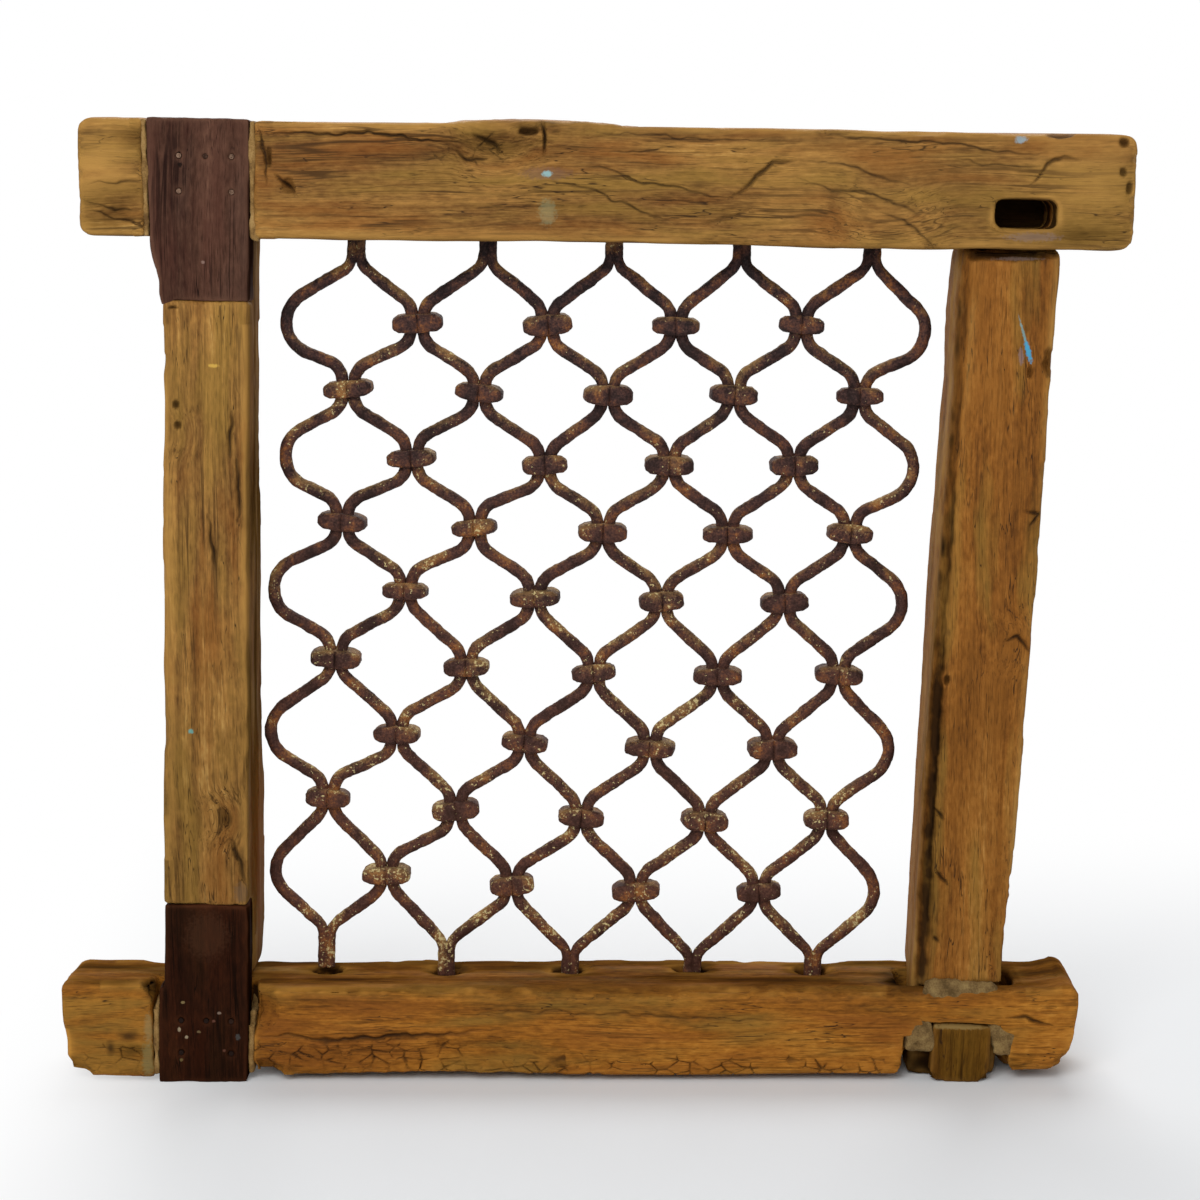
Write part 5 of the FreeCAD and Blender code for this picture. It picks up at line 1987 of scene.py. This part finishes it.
def right_stile() -> Timber:
    """Right stile: bowed to the right, with a dark groove and painted shade along its inner side and a streak
    of blue paint.

    Returns:
        The timber.
    """
    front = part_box("right_stile")[0].y / MM
    # How far the inner arris leans to the right for each millimetre up
    lean = 0.032
    marks = (
        Dent((332, 0, 330), (40, 80, 200), -1.2, ragged=0.05, dirty=0.0),
        Dent((240, 0, 400), (34, 80, 300), -1.8, ragged=0.05, dirty=0.0),
        Dent((252, 0, 580), (20, 80, 80), -3.0, ragged=0.05, dirty=0.0),
        *(Stain((foot + lean * (z - 85), front + deep, z), (wide, depth, 60), amount, layer)
          for foot, deep, wide, depth, amount, layer, heights in (
              (241, 2, 5.0, 16, 0.95, "grime_and_shade", range(90, 310, 40)),
              (242.5, 2, 3.4, 9, 0.6, "grime_and_shade", range(340, 580, 60)),
              (243, 24, 8, 15, 0.7, "worn", range(330, 600, 60)),
              (241, 36, 8, 14, 0.5, "worn", range(90, 330, 60)),
          ) for z in heights),
        *(Stain((x, front + 3, z), (1.8, 9, 15), 0.9, "crack") for x, z in (
            (258, 556), (257, 530), (255, 476), (254, 455), (252, 425), (250, 392), (248.5, 362),
        )),
        Crack(((262, 572), (261, 548), (260, 520)), 1.8, 1.2, 1.2, 0.85),
        Crack(((260, 512), (258, 470), (256.5, 440)), 1.6, 1.2, 1.2, 0.85),
        Crack(((257, 446), (254, 390), (252, 350)), 1.8, 1.2, 1.4, 0.85),
        Crack(((252.5, 356), (249, 280), (246, 200), (243, 90)), 1.6, 1.2, 1.4, 0.8),
        Stain((252, -8, 12), (34, 60, 30), 0.8, "crack"),
        Dent((285, front, 594), (50, 9, 6), 3.5, ragged=0.2, dark=0.7, dirty=0.9),
        Stain((264, 0, 8), (60, 70, 28), 0.95),
        Stain((280, front, 170), (70, 60, 170), 0.15),
        Dent((300, -10, 90), (14, 60, 90), 3.5, ragged=0.2, dirty=0.1),
        Dent((307.5, front, 512), (3, 6, 6), 3.0, dark=0.3),
        Dent((321, front, 520), (5, 9, 12), 4.0),
        Dent((254, front, 295), (2.5, 6, 4), 2.5, dark=0.6),
        Crack(((306, 417), (316, 412), (310, 402)), width=1.4),
        Crack(((294, 323), (304, 326), (313, 315)), width=1.4),
        Crack(((246, 204), (255, 193))),
        Crack(((249, 156), (258, 145))),
        Crack(((248, 108), (252, 103))),
    )
    flecks = (
        Fleck((302.5, front, 538), (1.0, 6, 14), "#6FA3A8", 0.6, 17),
        Fleck((306, front, 526), (2.1, 6, 9), "#3F97BC", 0.9, 15),
        Fleck((301, front, 523), (2.2, 6, 7), "#86757A", 0.45, 5),
        Fleck((296, front, 590), (20, 6, 1.5), "#75655F", 0.45),
    )
    knots = (Knot((300, front, 320), 36, 4),)
    finish = AgedTimber(
        "weathered_teak_right_stile", Grain.ALONG_Z, AMBER, pith=(60.0, 300.0), contrast=0.55, lines=0.25,
        tints=("#85541F", "#86682C"), flecks=flecks, knots=knots,
    )
    # A little painted shade on the inner side, which points left.
    return Timber("right_stile", "timber", finish, marks, (((-1, 0, 0), 0.1),), seed=400)


def patches() -> list[Timber]:
    """Later patches: the two dark splices at the left and the block in the right foot.

    Returns:
        The timbers.
    """
    upper = (
        Fleck((-278, FRONT, 654), (2, 4, 2), "#140B08"),
        Fleck((-264, FRONT, 588), (1.4, 4, 1.4), "#7E655A"),
    )
    lower = (
        Fleck((-291, FRONT, 60), (1.6, 4, 1.1), "#7E6C48", 0.8),
        Fleck((-265, FRONT, 52), (1.5, 4, 1.0), "#7C6A5C", 0.8),
        Fleck((-269, FRONT, 46), (1.4, 4, 1.1), "#5E3C30", 0.8),
        Fleck((-294, FRONT, 40), (1.3, 4, 1.8), "#9A8A70", 0.8),
        Fleck((-289, FRONT, 34), (1.3, 4, 1.6), "#9A8A70", 0.8),
        Fleck((-280, FRONT, 38), (1.6, 4, 1.1), "#6E5C40", 0.8),
        Fleck((-252, FRONT, 34), (1.8, 4, 2.8), "#4A4A48", 0.6),
        Fleck((-293, FRONT, 17), (1.6, 4, 1.6), "#6A5A38", 0.8),
        Fleck((-262, FRONT, 24), (1.3, 4, 1.3), "#5E3C30", 0.8),
        Fleck((-272, FRONT, 110), (17, 6, 20), "#4A3020", 0.3),
    )
    return [
        Timber(
            "upper_splice", "splice_timber",
            AgedTimber("rosewood_upper_patch", Grain.ALONG_Z, PLUM, "#6A4A3A", "#170B08", contrast=0.5,
                       shine=0.05, tints=("#46281F", "#46332A"), flecks=upper),
            (
                Dent((-303, -10, 592), (10, 40, 26), -3.5, ragged=0.1, dirty=0.0),
                Shove((-292, FRONT, 567), (11, 40, 9), (-1, 0, -4)),
            ),
            # Painted shade on the inner side, which points right.
            (((1, 0, 0), 0.8),), voxel=1.4, wear=0.4, nick=1.5, swell=0.4, seed=500,
        ),
        Timber(
            "lower_splice", "splice_timber",
            AgedTimber("rosewood_lower_patch", Grain.ALONG_Z, COFFEE, "#4A2816", "#0D0603", contrast=0.5,
                       shine=0.03, tints=("#2E1206", "#2A1709"), flecks=lower),
            # Painted shade on the inner side, which points right.
            facing_shade_and_dirt=(((1, 0, 0), 0.8),), voxel=1.4, wear=0.5, nick=2.0, swell=0.5, seed=600,
        ),
        Timber(
            "foot_block", "timber",
            AgedTimber("weathered_teak_foot", Grain.ALONG_Z, UMBER, worn="#7A5527", contrast=0.5, shine=0.03,
                       tints=("#5A340E", "#5E4313"),
                       flecks=(Fleck((268, FRONT, 42), (34, 6, 2.6), "#846C40", 0.85),)),
            (
                Shove((240, FRONT, 22), (14, 40, 60), (8, 0, 0)),
                Dent((246, FRONT, 0), (10, 60, 8), 4.0, dirty=0.2),
                Dent((291, FRONT, 0), (9, 60, 7), 4.0, dirty=0.2),
            ),
            voxel=1.4, wear=1.0, swell=0.8, seed=700,
        ),
    ]


def fillers() -> list[Filler]:
    """Putty in the joints: waxed and smooth at the left, dry and lumpy at the right.

    Returns:
        The fillers.
    """
    dry = LimePutty("lime_putty").material()
    waxed = LimePutty("waxed_lime_putty", ("#5E4424", "#836437", "#9B7C4C")).material()
    left = (
        Shove((-243, FRONT, 78), (14, 40, 40), (0, 5, -20)),
        Shove((-243, FRONT, 20), (14, 40, 80), (0, 2.5, 0)),
        Shove((-311, FRONT, 70), (14, 40, 16), (0, 2, -12)),
        Shove((-226, FRONT, 608), (9, 40, 12), (2, 0, -2.5)),
    )
    right = (
        Shove((232, FRONT, 32), (24, 40, 30), (8, 0, 0)),
        Shove((302, FRONT, 24), (20, 40, 16), (4, 0, 0)),
        Shove((271, FRONT, 71), (60, 40, 13), (0, 0, -4)),
        Dent((271, FRONT, 66), (34, 20, 10), -2.6, ragged=0.2, dirty=0.0),
        Dent((238, FRONT, 30), (3, 12, 7), 5.0, ragged=0.6, dark=0.9),
    )
    return [
        Filler("left_joint_putty", waxed, spread=0.3, lump=1.0, marks=left),
        Filler("right_joint_putty", dry, spread=1.8, lump=2.4, slump=8, marks=right),
    ]


def main() -> None:
    """Build the studio and every piece, then note the sizes."""
    Studio().build()
    iron = RustedIron("rusted_wrought_iron").material()
    grille = Grille(iron)
    for timber in (top_rail(), sill(grille.lattice), left_stile(), right_stile(), *patches()):
        timber.build()
    for filler in fillers():
        filler.build()
    grille.build()
    NailHeads("upper_splice_nails", seed=3).build()
    NailHeads("lower_splice_nails", brightest=0.3, seed=8).build()


if __name__ == "__main__":
    logging.basicConfig(level=logging.INFO, format="%(name)s: %(message)s")
    main()
